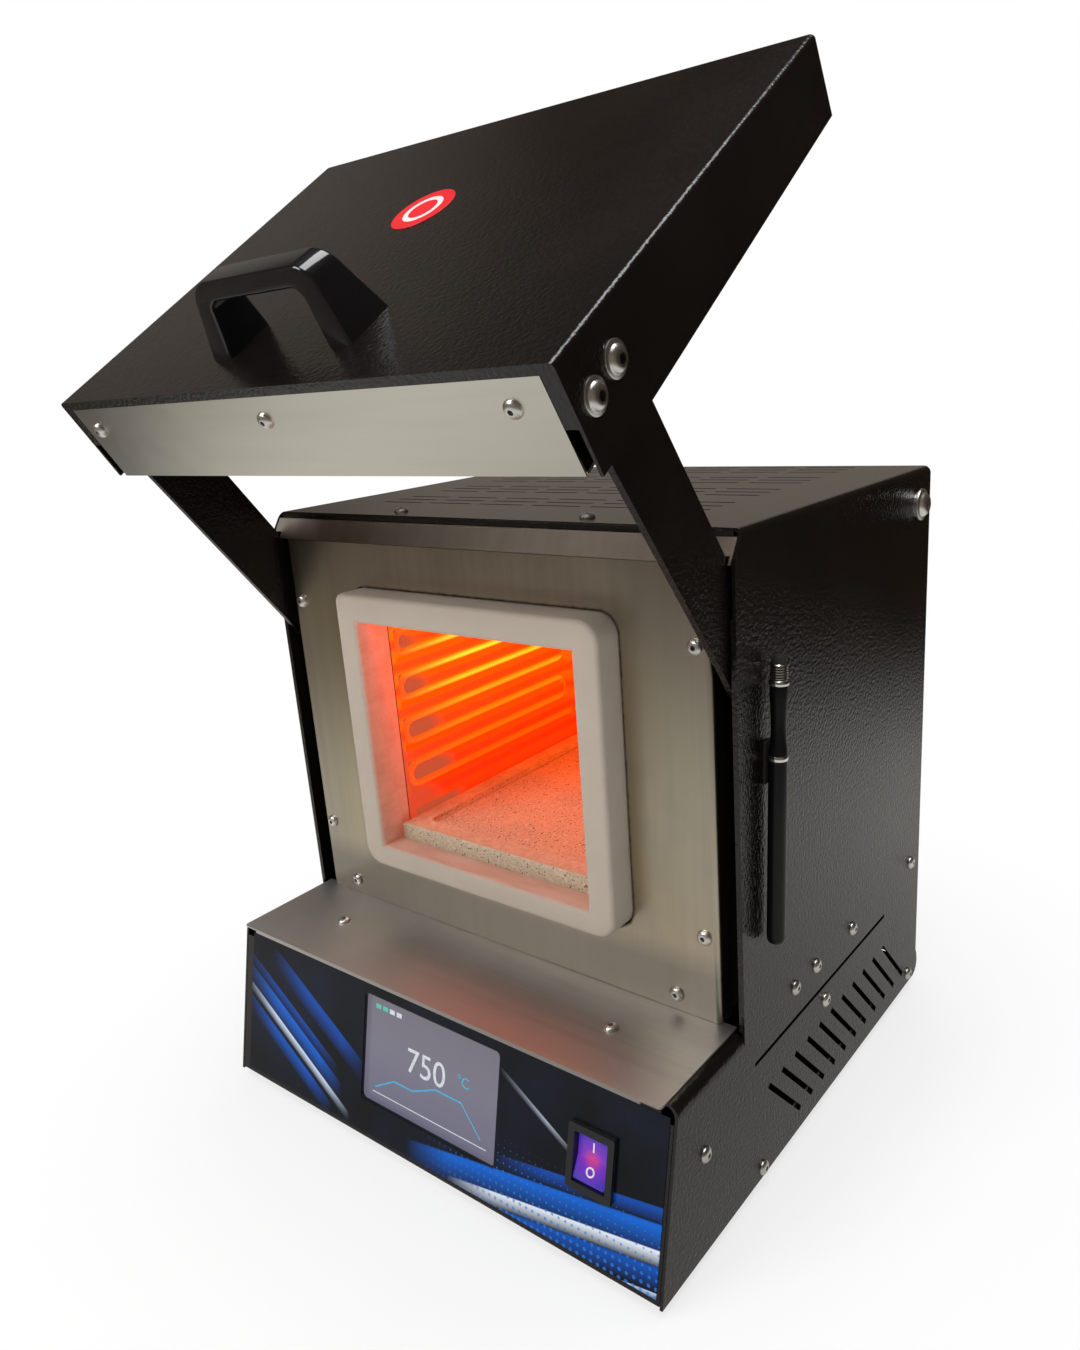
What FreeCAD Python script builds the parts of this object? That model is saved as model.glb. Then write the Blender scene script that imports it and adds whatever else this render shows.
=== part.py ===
import FreeCAD
import Part
import math
import os

os.makedirs("parts", exist_ok=True)

# Benchtop burnout furnace, drawn in millimetres with +Z up and the front facing -Y.
# Every piece is drawn from the front lower edge of the casing: x = 0 is the middle, y = 0 the
# front edge of the floor, z = 0 the underside of the casing. move_to_frame shifts it all at the end.

V = FreeCAD.Vector

# Casing
case_w = 300.0
case_d = 308.0
case_h = 325.5
sheet = 1.5
bend = 4.0
front_y = 78.3
brow_low_y = 77.6
brow_low_z = case_h - 13.9
brow_top_y = 86.5
hem_t = 1.2
hem_depth = 7.0
hem_top = case_h - 36.5

# Base that stands forward under the door
shelf_z = 92.0
shelf_t = 1.0
shelf_half = case_w / 2 - 5.6
shelf_front = 14.6
shelf_lip = 2.4
panel_lean = 12.5
panel_t = 1.5
rail_bend = 6.0
pan_t = 1.2
foot_r = 10.0
foot_h = 5.0

# Front plate and muffle
plate_half = case_w / 2 - 12.1
plate_t = 1.0
plate_bend = 3.0
plate_return = 10.0
housing_half = case_w / 2 - 13.5
housing_t = 1.0
housing_y0 = 80.4
housing_y1 = case_d - 16.0
housing_z0 = 93.6
housing_z1 = case_h - 18.5
mouth_x = 4.0
mouth_half = 86.5
mouth_z0 = 128.6
mouth_over = 15.2
mouth_y0 = 62.1
mouth_y1 = 84.3
mouth_corner = 11.0
mouth_tight = 5.0
open_half = 71.5
open_z0 = 141.5
open_z1 = housing_z1 - 35.5
mouth_z1 = open_z1 + mouth_over
board = 22.0
chamber_y1 = housing_y1 - 42.0
run_first = 166.6
run_pitch = 13.25
run_count = 2 * int((open_z1 - 12.0 - run_first + run_pitch) / (2 * run_pitch))
run_y0 = 92.0
run_y1 = chamber_y1 - 10.0
groove = 7.8
groove_deep = 6.5
coil_r = 2.6
bush_r = 5.6
probe_x = -48.0
probe_z = 178.0
probe_y = chamber_y1 - 18.0
probe_r = 3.0

# Tray
tray_x0 = -64.5
tray_x1 = 72.5
tray_len = 168.0
tray_y0 = chamber_y1 - 6.0 - tray_len
tray_h = 9.5
tray_rim = 11.0
tray_sunk = 2.2
tray_gap = 0.2

# Door, drawn upright as if closed: x across, y inward from the outer face, z up from its lower edge
door_len = 220.7
door_sheet = 1.5
door_deep = 43.9
door_taper = 0.0496
door_tilt = 32.82
lip_deep = 4.2
strip_t = 1.0
strip_x0 = 6.0 - case_w / 2
strip_x1 = case_w / 2 - 7.4
pan_half = case_w / 2 - 7.2
pan_side = case_w / 2 - 13.5
pan_x0 = -86.0
pan_x1 = 94.0
pan_z0 = 14.5
pan_z1 = door_len - 27.2
seat_back = 12.0
handle_x = -4.5
handle_half = 44.2
handle_top_half = 35.8
handle_h = 31.0
handle_foot0 = 23.0
handle_foot1 = 49.5
handle_top0 = 29.0
handle_top1 = 43.0
grip_half = 31.5
grip_top_half = 28.7
handle_bar = 8.0
label_x = -4.6
label_z = 132.8
label_r = 16.4

# Arms and pivot
arm_t = 3.0
arm_x0 = case_w / 2 - 3.6 - arm_t
pivot_y = case_d - 20.0
pivot_z = case_h - 18.9
door_y = pivot_y - 320.2
door_z = pivot_z + 87.9
pivot_r = 4.0
pivot_fit = 0.05
arm_end_r = 14.0
arm_screw_r = 3.0
arm_nut_h = 4.6
arm_screw_at = [(27.7, 18.1), (11.4, 20.6)]

# Panel fittings
screen_x0 = -44.0
screen_x1 = 51.3
screen_v0 = 22.5
screen_v1 = 82.0
screen_sunk = 2.0
rocker_x = 108.5
rocker_v = 51.4
rocker_w = 25.2
rocker_l = 31.2
rocker_rest = 8.0
rocker_depth = 3.2
axle_r = 1.4
axle_fit = 0.05

# Stylus
pen_r = 4.3
pen_x = case_w / 2 + 1.3 + pen_r
pen_y = 105.9
pen_top = 268.5
pen_len = 137.5
pen_lean = 2.6

gap = 0.3


def box(x0, x1, y0, y1, z0, z1):
    return Part.makeBox(x1 - x0, y1 - y0, z1 - z0, V(x0, y0, z0))


def rod(base, direction, radius, length):
    return Part.makeCylinder(radius, length, base, direction)


def prism_x(points, x0, x1):
    wire = Part.makePolygon([V(x0, y, z) for y, z in points + points[:1]])
    return Part.Face(wire).extrude(V(x1 - x0, 0, 0))


def fuse(shapes):
    whole = shapes[0]
    for other in shapes[1:]:
        whole = whole.fuse(other)
    return whole.removeSplitter()


def cut(shape, tools):
    return shape.cut(Part.makeCompound(tools)).removeSplitter()


def mirrored(shape):
    return shape.mirror(V(0, 0, 0), V(1, 0, 0))


def both_sides(shape):
    return Part.makeCompound([shape, mirrored(shape)])


def round_block(x0, x1, y0, y1, z0, z1, radius):
    # A block whose four edges along Y are rounded.
    block = box(x0, x1, y0, y1, z0, z1)
    edges = [e for e in block.Edges if abs(e.tangentAt(e.FirstParameter).y) > 0.99]
    return block.makeFillet(radius, edges)


def turned(profile):
    # Turns an (r, z) outline about the Z axis.
    wire = Part.makePolygon([V(r, 0, z) for r, z in profile + profile[:1]])
    return Part.Face(wire).revolve(V(0, 0, 0), V(0, 0, 1), 360)


def aim(shape, point, direction):
    shape.Placement = FreeCAD.Placement(V(*point), FreeCAD.Rotation(V(0, 0, 1), V(*direction)))
    return shape


def facets(sides, radius, z0, height):
    # A many-sided bar along Z, for small hardware that repeats.
    step = 360.0 / sides
    corners = [V(radius * math.cos(math.radians(step * k)), radius * math.sin(math.radians(step * k)), z0)
               for k in range(sides + 1)]
    return Part.Face(Part.makePolygon(corners)).extrude(V(0, 0, height))


def screw_hole(point, direction, length, radius=2.1):
    return aim(facets(8, radius, 0, length), point, direction)


def cap(sides, radius, top_radius, z0, height):
    # A head that narrows towards its top.
    rings = []
    for r, z in ((radius, z0), (top_radius, z0 + height)):
        bar = facets(sides, r, z, 1.0)
        rings.append(min(bar.Faces, key=lambda f: f.CenterOfMass.z).OuterWire)
    return Part.makeLoft(rings, True, True)


def button_screw(point, direction, head_r=3.8, head_h=2.3, shank_r=1.9, length=6.0):
    head = cap(12, head_r, head_r * 0.62, 0, head_h)
    shank = facets(8, shank_r, -length, length)
    return aim(fuse([head, shank]), point, direction)


def flange_screw(point, direction, length, shank_r):
    # The flange, dome and hexagon socket are all in proportion to the thread.
    flange = facets(20, 2.2 * shank_r, 0, 0.4 * shank_r)
    head = cap(16, 1.65 * shank_r, 1.1 * shank_r, 0.4 * shank_r, 0.7 * shank_r)
    head = head.cut(facets(6, 0.68 * shank_r, 0.5 * shank_r, 2 * shank_r))
    shank = Part.makeCylinder(shank_r, length, V(0, 0, -length))
    return aim(fuse([flange, head, shank]), point, direction)


def nut(point, direction, shank_r, height):
    body = facets(6, 1.65 * shank_r, 0, height).cut(facets(12, shank_r + 0.3, 0, height))
    return aim(body, point, direction)


def washer(point, direction, radius, height, shank_r):
    ring = facets(20, radius, 0, height).cut(facets(12, shank_r + 0.3, 0, height))
    return aim(ring, point, direction)


def lean_back(shape):
    # From an upright panel at y = 0 to the leaned control panel.
    shape.rotate(V(0, 0, 0), V(1, 0, 0), -panel_lean)
    return shape


def open_door(shape):
    # From the upright drawing of the door to its open place above the casing.
    shape.rotate(V(0, 0, 0), V(1, 0, 0), door_tilt - 90.0)
    shape.translate(V(0, door_y, door_z))
    return shape


def door_point(across, inward, up):
    tilt = math.radians(door_tilt)
    y = door_y + up * math.cos(tilt) + inward * math.sin(tilt)
    z = door_z + up * math.sin(tilt) - inward * math.cos(tilt)
    return V(across, y, z)


def pivot_in_door():
    tilt = math.radians(door_tilt)
    dy = pivot_y - door_y
    dz = pivot_z - door_z
    return dy * math.sin(tilt) - dz * math.cos(tilt), dy * math.cos(tilt) + dz * math.sin(tilt)


# Places of the screws
rear_row = case_d - 14.8
side_screws_at = [(131.4, 87.2), (156.3, 86.4), (203.3, 84.5), (rear_row, 85.3), (167.7, 59.6),
                  (rear_row + 0.5, 6.9), (39.8, 53.2), (94.3, 5.6)]
front_row = plate_half - 7.5
front_screws_at = [(front_row, brow_low_z - 36.1), (front_row, 136.4), (front_row - 16.3, shelf_z + 8.9)]
top_screws_at = [(62.2, 99.6)]
shelf_screws_at = [(95.2, 48.9)]
strip_screws_at = [(strip_x0 + 10.5, 16.3), (-4.3, 15.6), (strip_x1 - 16.6, 16.0)]


def casing_block(inset):
    # The upper casing as a solid block: the same outline serves outside and inside.
    half = case_w / 2 - inset
    top = case_h - inset
    run = (brow_top_y - brow_low_y) / (case_h - brow_low_z)
    y_top = brow_top_y - inset * run
    points = [(front_y, 0), (case_d, 0), (case_d, top), (y_top, top), (brow_low_y, brow_low_z),
              (front_y, brow_low_z - 0.5)]
    if inset:
        points = [(40, -5), (case_d + 9, -5), (case_d + 9, top), (40, top)]
    block = prism_x(points, -half, half)
    edges = [e for e in block.Edges if abs(e.tangentAt(e.FirstParameter).y) > 0.99
             and abs(e.CenterOfMass.z - top) < 0.1]
    return block.makeFillet(bend - inset, edges)


def base_rail():
    # The forward part of a side sheet, bent over at the top to carry the shelf.
    half = case_w / 2
    top = shelf_z - shelf_t
    outer = box(half - rail_bend - 8, half, -12, front_y + 0.5, 0, top)
    edge = [e for e in outer.Edges if abs(e.tangentAt(e.FirstParameter).y) > 0.99
            and e.CenterOfMass.x > half - 1 and e.CenterOfMass.z > top - 1]
    outer = outer.makeFillet(rail_bend, edge)
    inner = box(half - rail_bend - 9, half - sheet, -13, front_y + 2, -1, top - sheet)
    edge = [e for e in inner.Edges if abs(e.tangentAt(e.FirstParameter).y) > 0.99
            and e.CenterOfMass.x > half - sheet - 1 and e.CenterOfMass.z > top - sheet - 1]
    inner = inner.makeFillet(rail_bend - sheet, edge)
    rail = outer.cut(inner)
    ahead = lean_back(box(-200, 200, -80, 0, -60, 200))
    return rail.cut(ahead)


def side_vents(x0, x1):
    # A row of slanted slots low in the side and one long level slit above them.
    tools = []
    slot_len = 51.0
    slot_first = 119.3
    slot_pitch = 14.75
    for k in range(int((case_d - 40.0 - slot_first) / slot_pitch) + 1):
        y = slot_first + slot_pitch * k
        slot = box(x0, x1, y - slot_len / 2, y + slot_len / 2, -1.5, 1.5)
        slot.rotate(V(0, y, 0), V(1, 0, 0), -46.8)
        slot.translate(V(0, 0, 30.0))
        tools.append(slot)
    tools.append(box(x0, x1, 87.9, case_d - 56.7, 67.9, 70.1))
    return tools


def top_vents():
    # Groups of three rows, six slots to a row.
    tools = []
    first = 131.6
    pitch = 48.3
    for group in range(int((case_d - 31.0 - first) / pitch) + 1):
        for row in range(3):
            y = first + pitch * group + 11.6 * row
            for k in range(6):
                x = -109.2 + 37.5 * k
                tools.append(box(x, x + 31.0, y - 1.0, y + 1.0, case_h - 3, case_h + 1))
    return tools


def outer_casing():
    shell = casing_block(0).cut(casing_block(sheet))
    half = case_w / 2
    lip = box(-half + 4, half - 4, brow_top_y - 1.4, brow_top_y + 0.4, case_h - 3.2, case_h - 1.0)
    rail = base_rail()
    hem = box(half - sheet - hem_t, half - sheet, front_y, front_y + hem_depth, shelf_z, hem_top)
    corner = prism_x([(case_d - 12, 0.0), (case_d - 6, 0.0), (case_d + 1.4, 3.4), (case_d + 2.6, 8.0),
                      (case_d + 1.6, 14.0), (case_d - 1, 18.0), (case_d - 12, 18.0)], half - sheet, half)
    shell = fuse([shell, lip, rail, mirrored(rail), hem, mirrored(hem), corner, mirrored(corner)])
    floor_corner = prism_x([(case_d - 6, -1), (case_d + 5, -1), (case_d + 5, 4.0)], -200, 200)
    tools = top_vents() + side_vents(half - 4, half + 1) + side_vents(-half - 1, -half + 4)
    tools.append(floor_corner)
    for y, z in side_screws_at:
        tools.append(screw_hole((-half - 5, y, z), (1, 0, 0), case_w + 10))
    for x, y in top_screws_at:
        for side in (-1, 1):
            tools.append(screw_hole((side * x, y, case_h - 5), (0, 0, 1), 10))
    tools.append(rod(V(-half - 5, pivot_y, pivot_z), V(1, 0, 0), 4.3, case_w + 10))
    return cut(shell, tools)


def base_pan():
    half = case_w / 2 - sheet - gap
    floor = box(-half, half, 3.0, case_d - 4.5, 0, pan_t)
    wall = box(half - pan_t, half, 66.0, case_d - 5.5, 0, 16)
    rear = box(-half, half, case_d - 4.5 - pan_t, case_d - 4.5, 0, 12)
    body = fuse([floor, wall, mirrored(wall), rear])
    tools = [screw_hole((-half - 5, y, z), (1, 0, 0), case_w + 10) for y, z in side_screws_at if z < 8]
    for x in (-70, -35, 0, 35, 70):
        tools.append(box(x - 12, x + 12, 150, 154, -1, 3))
        tools.append(box(x - 12, x + 12, 170, 174, -1, 3))
    return cut(body, tools)


def rear_panel():
    half = case_w / 2 - sheet - gap
    y0 = case_d - 4.2
    plate = box(-half, half, y0, y0 + 1.2, 12.5, case_h - sheet - gap)
    corners = [e for e in plate.Edges if abs(e.tangentAt(e.FirstParameter).y) > 0.99
               and e.CenterOfMass.z > case_h - 10]
    plate = plate.makeFillet(bend, corners)
    ear = box(half - 1.2, half, y0 - 16, y0 + 1.2, 60, 110)
    body = fuse([plate, ear, mirrored(ear)])
    tools = [screw_hole((-half - 5, y, z), (1, 0, 0), case_w + 10) for y, z in side_screws_at if y > 280]
    for k in range(13):
        x = -90 + 15 * k
        tools.append(box(x - 1.5, x + 1.5, y0 - 1, y0 + 3, case_h - 63.5, case_h - 25.5))
    for k in range(7):
        x = 20 + 15 * k
        tools.append(box(x - 1.5, x + 1.5, y0 - 1, y0 + 3, 28, 62))
    tools.append(box(-104, -76, y0 - 1, y0 + 3, 32, 53))
    tools.append(rod(V(-45, y0 - 1, 42.5), V(0, 1, 0), 6.2, 4))
    return cut(body, tools)


def shelf_plate():
    top = box(-shelf_half, shelf_half, shelf_front, front_y + 3, shelf_z - shelf_t, shelf_z)
    corners = [e for e in top.Edges if abs(e.tangentAt(e.FirstParameter).z) > 0.99
               and e.CenterOfMass.y < shelf_front + 1]
    top = top.makeFillet(2.0, corners)
    lip_half = shelf_half - 10.4
    lip = box(-lip_half, lip_half, shelf_front, shelf_front + 1, shelf_z - shelf_lip, shelf_z - shelf_t)
    body = fuse([top, lip])
    tools = [screw_hole((s * x, y, shelf_z - 5), (0, 0, 1), 10) for x, y in shelf_screws_at for s in (-1, 1)]
    notch = box(case_w / 2 - sheet - hem_t - gap, 200, front_y - 0.6, front_y + 20, 0, 200)
    return cut(body, tools + [notch, mirrored(notch)])


def control_panel():
    half = case_w / 2 - sheet - gap
    height = 91.5
    plate = box(-half, half, 0, panel_t, 0.6, height)
    ear = box(half - 1.2, half, 0, 48, 8, 60)
    shoulder = box(case_w / 2 - rail_bend - 2.5, 200, -5, 20, shelf_z - rail_bend - 1.5, 200)
    plate = plate.cut(shoulder).cut(mirrored(shoulder))
    body = lean_back(fuse([plate, ear, mirrored(ear)]))
    window = box(screen_x0, screen_x1, -2, panel_t + 2, screen_v0, screen_v1)
    edges = [e for e in window.Edges if abs(e.tangentAt(e.FirstParameter).y) > 0.99]
    window = lean_back(window.makeFillet(3.0, edges))
    switch_hole = lean_back(box(rocker_x - 10.9, rocker_x + 10.9, -2, 6, rocker_v - 14.0, rocker_v + 14.0))
    below = box(-200, 200, -30, 60, -30, 1.3)
    above = box(-200, 200, -30, 90, shelf_z - shelf_t - 0.2, 200)
    room = shelf_half - 8.4
    lip_room = box(-room, room, shelf_front - 1, shelf_front + 1.4, shelf_z - shelf_lip - 0.3, 200)
    holes = [screw_hole((-half - 5, y, z), (1, 0, 0), case_w + 10) for y, z in side_screws_at if y < 60]
    return cut(body, [window, switch_hole, below, above, lip_room] + holes)


def panel_film():
    film = box(7.5 - case_w / 2, case_w / 2 - 3.5, -0.35, 0, 4.0, shelf_z - 4.5)
    window = box(screen_x0 - 0.2, screen_x1 + 0.2, -2, 2, screen_v0 - 0.2, screen_v1 + 0.2)
    switch_hole = box(rocker_x - 11.2, rocker_x + 11.2, -2, 2, rocker_v - 14.3, rocker_v + 14.3)
    return lean_back(cut(film, [window, switch_hole]))


def display_screen():
    glass = box(screen_x0 - 4, screen_x1 + 4, panel_t + screen_sunk - 1.2, panel_t + screen_sunk + 1.8,
                screen_v0 - 4, screen_v1 + 4)
    return lean_back(glass)


def display_board():
    back = panel_t + screen_sunk + 1.8
    plate = box(screen_x0 - 6, screen_x1 + 6, back, back + 3.2, screen_v0 - 4, screen_v1 + 3)
    return lean_back(plate)


def rocker_housing():
    frame = round_block(rocker_x - rocker_w / 2, rocker_x + rocker_w / 2, -2.6, -0.35,
                        rocker_v - rocker_l / 2, rocker_v + rocker_l / 2, 1.2)
    body = box(rocker_x - 10.6, rocker_x + 10.6, -0.35, 18, rocker_v - 13.7, rocker_v + 13.7)
    well = box(rocker_x - 9.2, rocker_x + 9.2, -4, 12, rocker_v - 12.0, rocker_v + 12.0)
    tabs = [box(rocker_x + k * 6 - 2.4, rocker_x + k * 6 + 2.4, 18, 26, rocker_v + s - 0.4, rocker_v + s + 0.4)
            for k in (-1, 1) for s in (-8, 0)]
    shape = fuse([frame, body]).cut(well)
    seat = rod(V(rocker_x - 20, rocker_depth, rocker_v), V(1, 0, 0), axle_r + axle_fit, 40)
    return lean_back(fuse([shape] + tabs).cut(seat))


def rocker_centre():
    lean = math.radians(panel_lean)
    y = rocker_v * math.sin(lean) + rocker_depth * math.cos(lean)
    z = rocker_v * math.cos(lean) - rocker_depth * math.sin(lean)
    return V(rocker_x, y, z)


def rocker_paddle():
    # A shallow V seen from the side: its upper half lies pressed in at rest.
    points = [(-4.4, -11.2), (-2.6, 0), (-4.4, 11.2), (3.4, 10.0), (5.2, 0), (3.4, -10.0)]
    body = prism_x(points, rocker_x - 8.8, rocker_x + 8.8)
    body = fuse([body, rod(V(rocker_x - 10.2, 0, 0), V(1, 0, 0), axle_r, 20.4)])
    body.rotate(V(0, 0, 0), V(1, 0, 0), -rocker_rest)
    body.translate(V(0, rocker_depth, rocker_v))
    return lean_back(body)


def front_plate():
    top = brow_low_z - 0.4
    outer = box(-plate_half, plate_half, front_y, front_y + plate_return, shelf_z + 0.2, top)
    edges = [e for e in outer.Edges if abs(e.tangentAt(e.FirstParameter).z) > 0.99
             and e.CenterOfMass.y < front_y + 1]
    outer = outer.makeFillet(plate_bend, edges)
    inside = box(-plate_half + plate_t, plate_half - plate_t, front_y + plate_t, front_y + 40, 0, 400)
    body = outer.cut(inside)
    window = mouth_block(0.7, front_y - 5, front_y + 5)
    tools = [window]
    for x, z in front_screws_at:
        for side in (-1, 1):
            tools.append(screw_hole((side * x, front_y - 2, z), (0, 1, 0), 5))
    return cut(body, tools)


def front_brow():
    # A sloping strip under the front edge of the top, notched where the arms pass.
    half = case_w / 2 - sheet - gap
    rise = case_h - 3.4 - brow_low_z
    run = (brow_top_y - brow_low_y) * rise / (case_h - brow_low_z)
    low = (brow_low_y, brow_low_z)
    high = (brow_low_y + run, brow_low_z + rise)
    points = [low, high, (high[0] + 10, high[1]), (high[0] + 10, high[1] - 1), (high[0] + 0.9, high[1] - 1),
              (low[0] + 1.2, low[1] + 0.9), (low[0] + 11, low[1] + 0.9), (low[0] + 11, low[1])]
    body = prism_x(points, -half, half)
    notch = box(arm_x0 - 0.9, arm_x0 + arm_t + 0.6, 60, 110, brow_low_z - 2, brow_low_z + 3.4)
    return cut(body, [notch, mirrored(notch)])


def muffle_housing():
    outer = box(-housing_half, housing_half, housing_y0, housing_y1, housing_z0, housing_z1)
    inner = box(-housing_half + housing_t, housing_half - housing_t, housing_y0 - 5, housing_y1 - housing_t,
                housing_z0 + housing_t, housing_z1 - housing_t)
    shell = outer.cut(inner)
    tools = [screw_hole((x, housing_y1 - 5, z), (0, 1, 0), 10, bush_r + 0.4) for x, z in terminal_places()]
    tools.append(screw_hole((probe_x, housing_y1 - 5, probe_z), (0, 1, 0), 10, probe_r + 0.6))
    return cut(shell, tools)


def mouth_block(grow, y0, y1):
    # The outline of the mouth frame, widened by grow. Its upper left corner is tighter than the rest.
    left = mouth_x - mouth_half - grow
    top = mouth_z1 + grow
    block = box(left, mouth_x + mouth_half + grow, y0, y1, mouth_z0 - grow, top)
    edges = [e for e in block.Edges if abs(e.tangentAt(e.FirstParameter).y) > 0.99]
    wide = [e for e in edges if e.CenterOfMass.x > left + 1 or e.CenterOfMass.z < top - 1]
    block = block.makeFillet(mouth_corner, wide)
    tight = [e for e in block.Edges if abs(e.CenterOfMass.x - left) < 0.1 and abs(e.CenterOfMass.z - top) < 0.1]
    return block.makeFillet(mouth_tight, tight)


def mouth_frame():
    outer = mouth_block(0, mouth_y0, mouth_y1)
    rim = [e for e in outer.Edges if e.CenterOfMass.y < mouth_y0 + 0.1]
    outer = outer.makeChamfer(1.6, rim)
    hole = box(mouth_x - open_half, mouth_x + open_half, mouth_y0 - 5, mouth_y1 + 5, open_z0, open_z1)
    return outer.cut(hole)


def run_heights():
    return [run_first + run_pitch * k for k in range(run_count)]


def wall_board(side):
    # side is 1 for the right wall and -1 for the left. Grooves hold the element.
    inner = mouth_x + side * open_half
    outer = inner + side * board
    x0 = min(inner, outer)
    body = box(x0, x0 + board, mouth_y1, chamber_y1 + board, open_z0 - board, open_z1 + board)
    face = inner - side * 1.0
    floor = inner + side * groove_deep
    a = min(face, floor)
    b = max(face, floor)
    tools = []
    heights = run_heights()
    for z in heights:
        tools.append(box(a, b, run_y0 - groove / 2, run_y1 + groove / 2, z - groove / 2, z + groove / 2))
    for k in range(run_count - 1):
        y = run_y0 if k % 2 == 0 else run_y1
        tools.append(box(a, b, y - groove / 2, y + groove / 2, heights[k], heights[k + 1]))
    for z in (heights[0], heights[-1]):
        x = inner + side * groove_deep / 2
        tools.append(screw_hole((x, run_y1, z), (0, 1, 0), 60, coil_r + 0.4))
    return cut(body, tools)


def element(side):
    # A serpentine of eight level runs joined by tight bends, with both tails leaving at the back.
    x = mouth_x + side * (open_half + groove_deep / 2)
    heights = run_heights()
    cut_off = run_pitch * 0.27
    end = housing_y1 + 4.0
    points = [V(x, end, heights[0])]
    for k, z in enumerate(heights[:-1]):
        at_front = k % 2 == 0
        y = run_y0 if at_front else run_y1
        back = cut_off if at_front else -cut_off
        points += [V(x, y + back, z), V(x, y, z + cut_off), V(x, y, z + run_pitch - cut_off),
                   V(x, y + back, z + run_pitch)]
    points.append(V(x, end, heights[-1]))
    ring = []
    for k in range(7):
        turn = math.radians(60 * k)
        ring.append(V(x + coil_r * math.cos(turn), end, heights[0] + coil_r * math.sin(turn)))
    return Part.makePolygon(points).makePipeShell([Part.makePolygon(ring)], True, False, 1)


def terminal_places():
    heights = run_heights()
    places = []
    for side in (-1, 1):
        x = mouth_x + side * (open_half + groove_deep / 2)
        places += [(x, heights[0]), (x, heights[-1])]
    return places


def element_terminals():
    # Ceramic bushes where the element tails leave the housing.
    bushes = []
    for x, z in terminal_places():
        shape = fuse([facets(12, bush_r, -13.0, 14.0), facets(12, 8.0, 0.2, 3.0)])
        shape = shape.cut(facets(8, coil_r + 0.4, -20, 40))
        bushes.append(aim(shape, (x, housing_y1, z), (0, 1, 0)))
    return Part.makeCompound(bushes)


def thermocouple():
    reach = housing_y1 - probe_y
    shape = fuse([facets(12, probe_r, -reach, reach + 0.4), facets(12, 7.5, 0.2, 8.0)])
    return aim(shape, (probe_x, housing_y1, probe_z), (0, 1, 0))


def chamber_roof():
    x0 = mouth_x - open_half
    return box(x0, x0 + 2 * open_half, mouth_y1, chamber_y1, open_z1, open_z1 + board)


def chamber_floor():
    x0 = mouth_x - open_half
    return box(x0, x0 + 2 * open_half, mouth_y1, chamber_y1, open_z0 - board, open_z0)


def chamber_back():
    x0 = mouth_x - open_half
    wall = box(x0, x0 + 2 * open_half, chamber_y1, chamber_y1 + board, open_z0 - board, open_z1 + board)
    return wall.cut(screw_hole((probe_x, chamber_y1 - 5, probe_z), (0, 1, 0), board + 10, probe_r + 0.6))


def insulation_top():
    half = housing_half - housing_t - gap
    return box(-half, half, housing_y0 + 4, chamber_y1 + board, open_z1 + board, housing_z1 - housing_t - gap)


def insulation_bottom():
    half = housing_half - housing_t - gap
    return box(-half, half, housing_y0 + 4, chamber_y1 + board, housing_z0 + housing_t + gap, open_z0 - board)


def insulation_sides():
    half = housing_half - housing_t - gap
    right = mouth_x + open_half + board
    left = mouth_x - open_half - board
    z0 = open_z0 - board
    z1 = open_z1 + board
    a = box(right, half, housing_y0 + 4, chamber_y1 + board, z0, z1)
    b = box(-half, left, housing_y0 + 4, chamber_y1 + board, z0, z1)
    return Part.makeCompound([a, b])


def insulation_rear():
    half = housing_half - housing_t - gap
    y0 = chamber_y1 + board
    y1 = housing_y1 - housing_t - gap
    slab = box(-half, half, y0, y1, housing_z0 + housing_t + gap, housing_z1 - housing_t - gap)
    holes = [screw_hole((x, y0 - 1, z), (0, 1, 0), 40, bush_r + 0.5) for x, z in terminal_places()]
    holes.append(screw_hole((probe_x, y0 - 1, probe_z), (0, 1, 0), 40, probe_r + 0.6))
    return cut(slab, holes)


def muffle_rails():
    # Angle rails on the side sheets that carry the muffle housing.
    half = case_w / 2 - sheet - 0.1
    top = housing_z0 - 0.2
    y0 = 112.0
    y1 = housing_y1 - 6.0
    web = box(half - sheet, half, y0, y1, top - 15.4, top)
    leg = box(housing_half - 12.5, half, y0, y1, top - sheet, top)
    rail = fuse([web, leg])
    tools = [screw_hole((half - 8, y, z), (1, 0, 0), 20) for y, z in side_screws_at if 80 < z < 90]
    return both_sides(cut(rail, tools))


def chamber_tray():
    z0 = open_z0 + tray_gap
    y1 = tray_y0 + tray_len
    body = box(tray_x0, tray_x1, tray_y0, y1, z0, z0 + tray_h)
    top_edges = [e for e in body.Edges if e.CenterOfMass.z > z0 + tray_h - 0.1]
    body = body.makeChamfer(0.8, top_edges)
    well = round_block(tray_x0 + tray_rim, tray_x1 - tray_rim, 0, 0 + tray_sunk + 1, 0, tray_len - 2 * tray_rim, 4.0)
    well.rotate(V(0, 0, 0), V(1, 0, 0), 90)
    well.translate(V(0, y1 - tray_rim, z0 + tray_h - tray_sunk))
    bottom = well.BoundBox
    well.translate(V(0, y1 - tray_rim - bottom.YMax, z0 + tray_h - tray_sunk - bottom.ZMin))
    return body.cut(well)


def tapered(y_from, z0, z1, back):
    # The side view of a door layer from y_from to the tapered inner plane, less back.
    y0 = door_deep - door_taper * z0 - back
    y1 = door_deep - door_taper * z1 - back
    return [(y_from, z0), (y0, z0), (y1, z1), (y_from, z1)]


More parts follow.
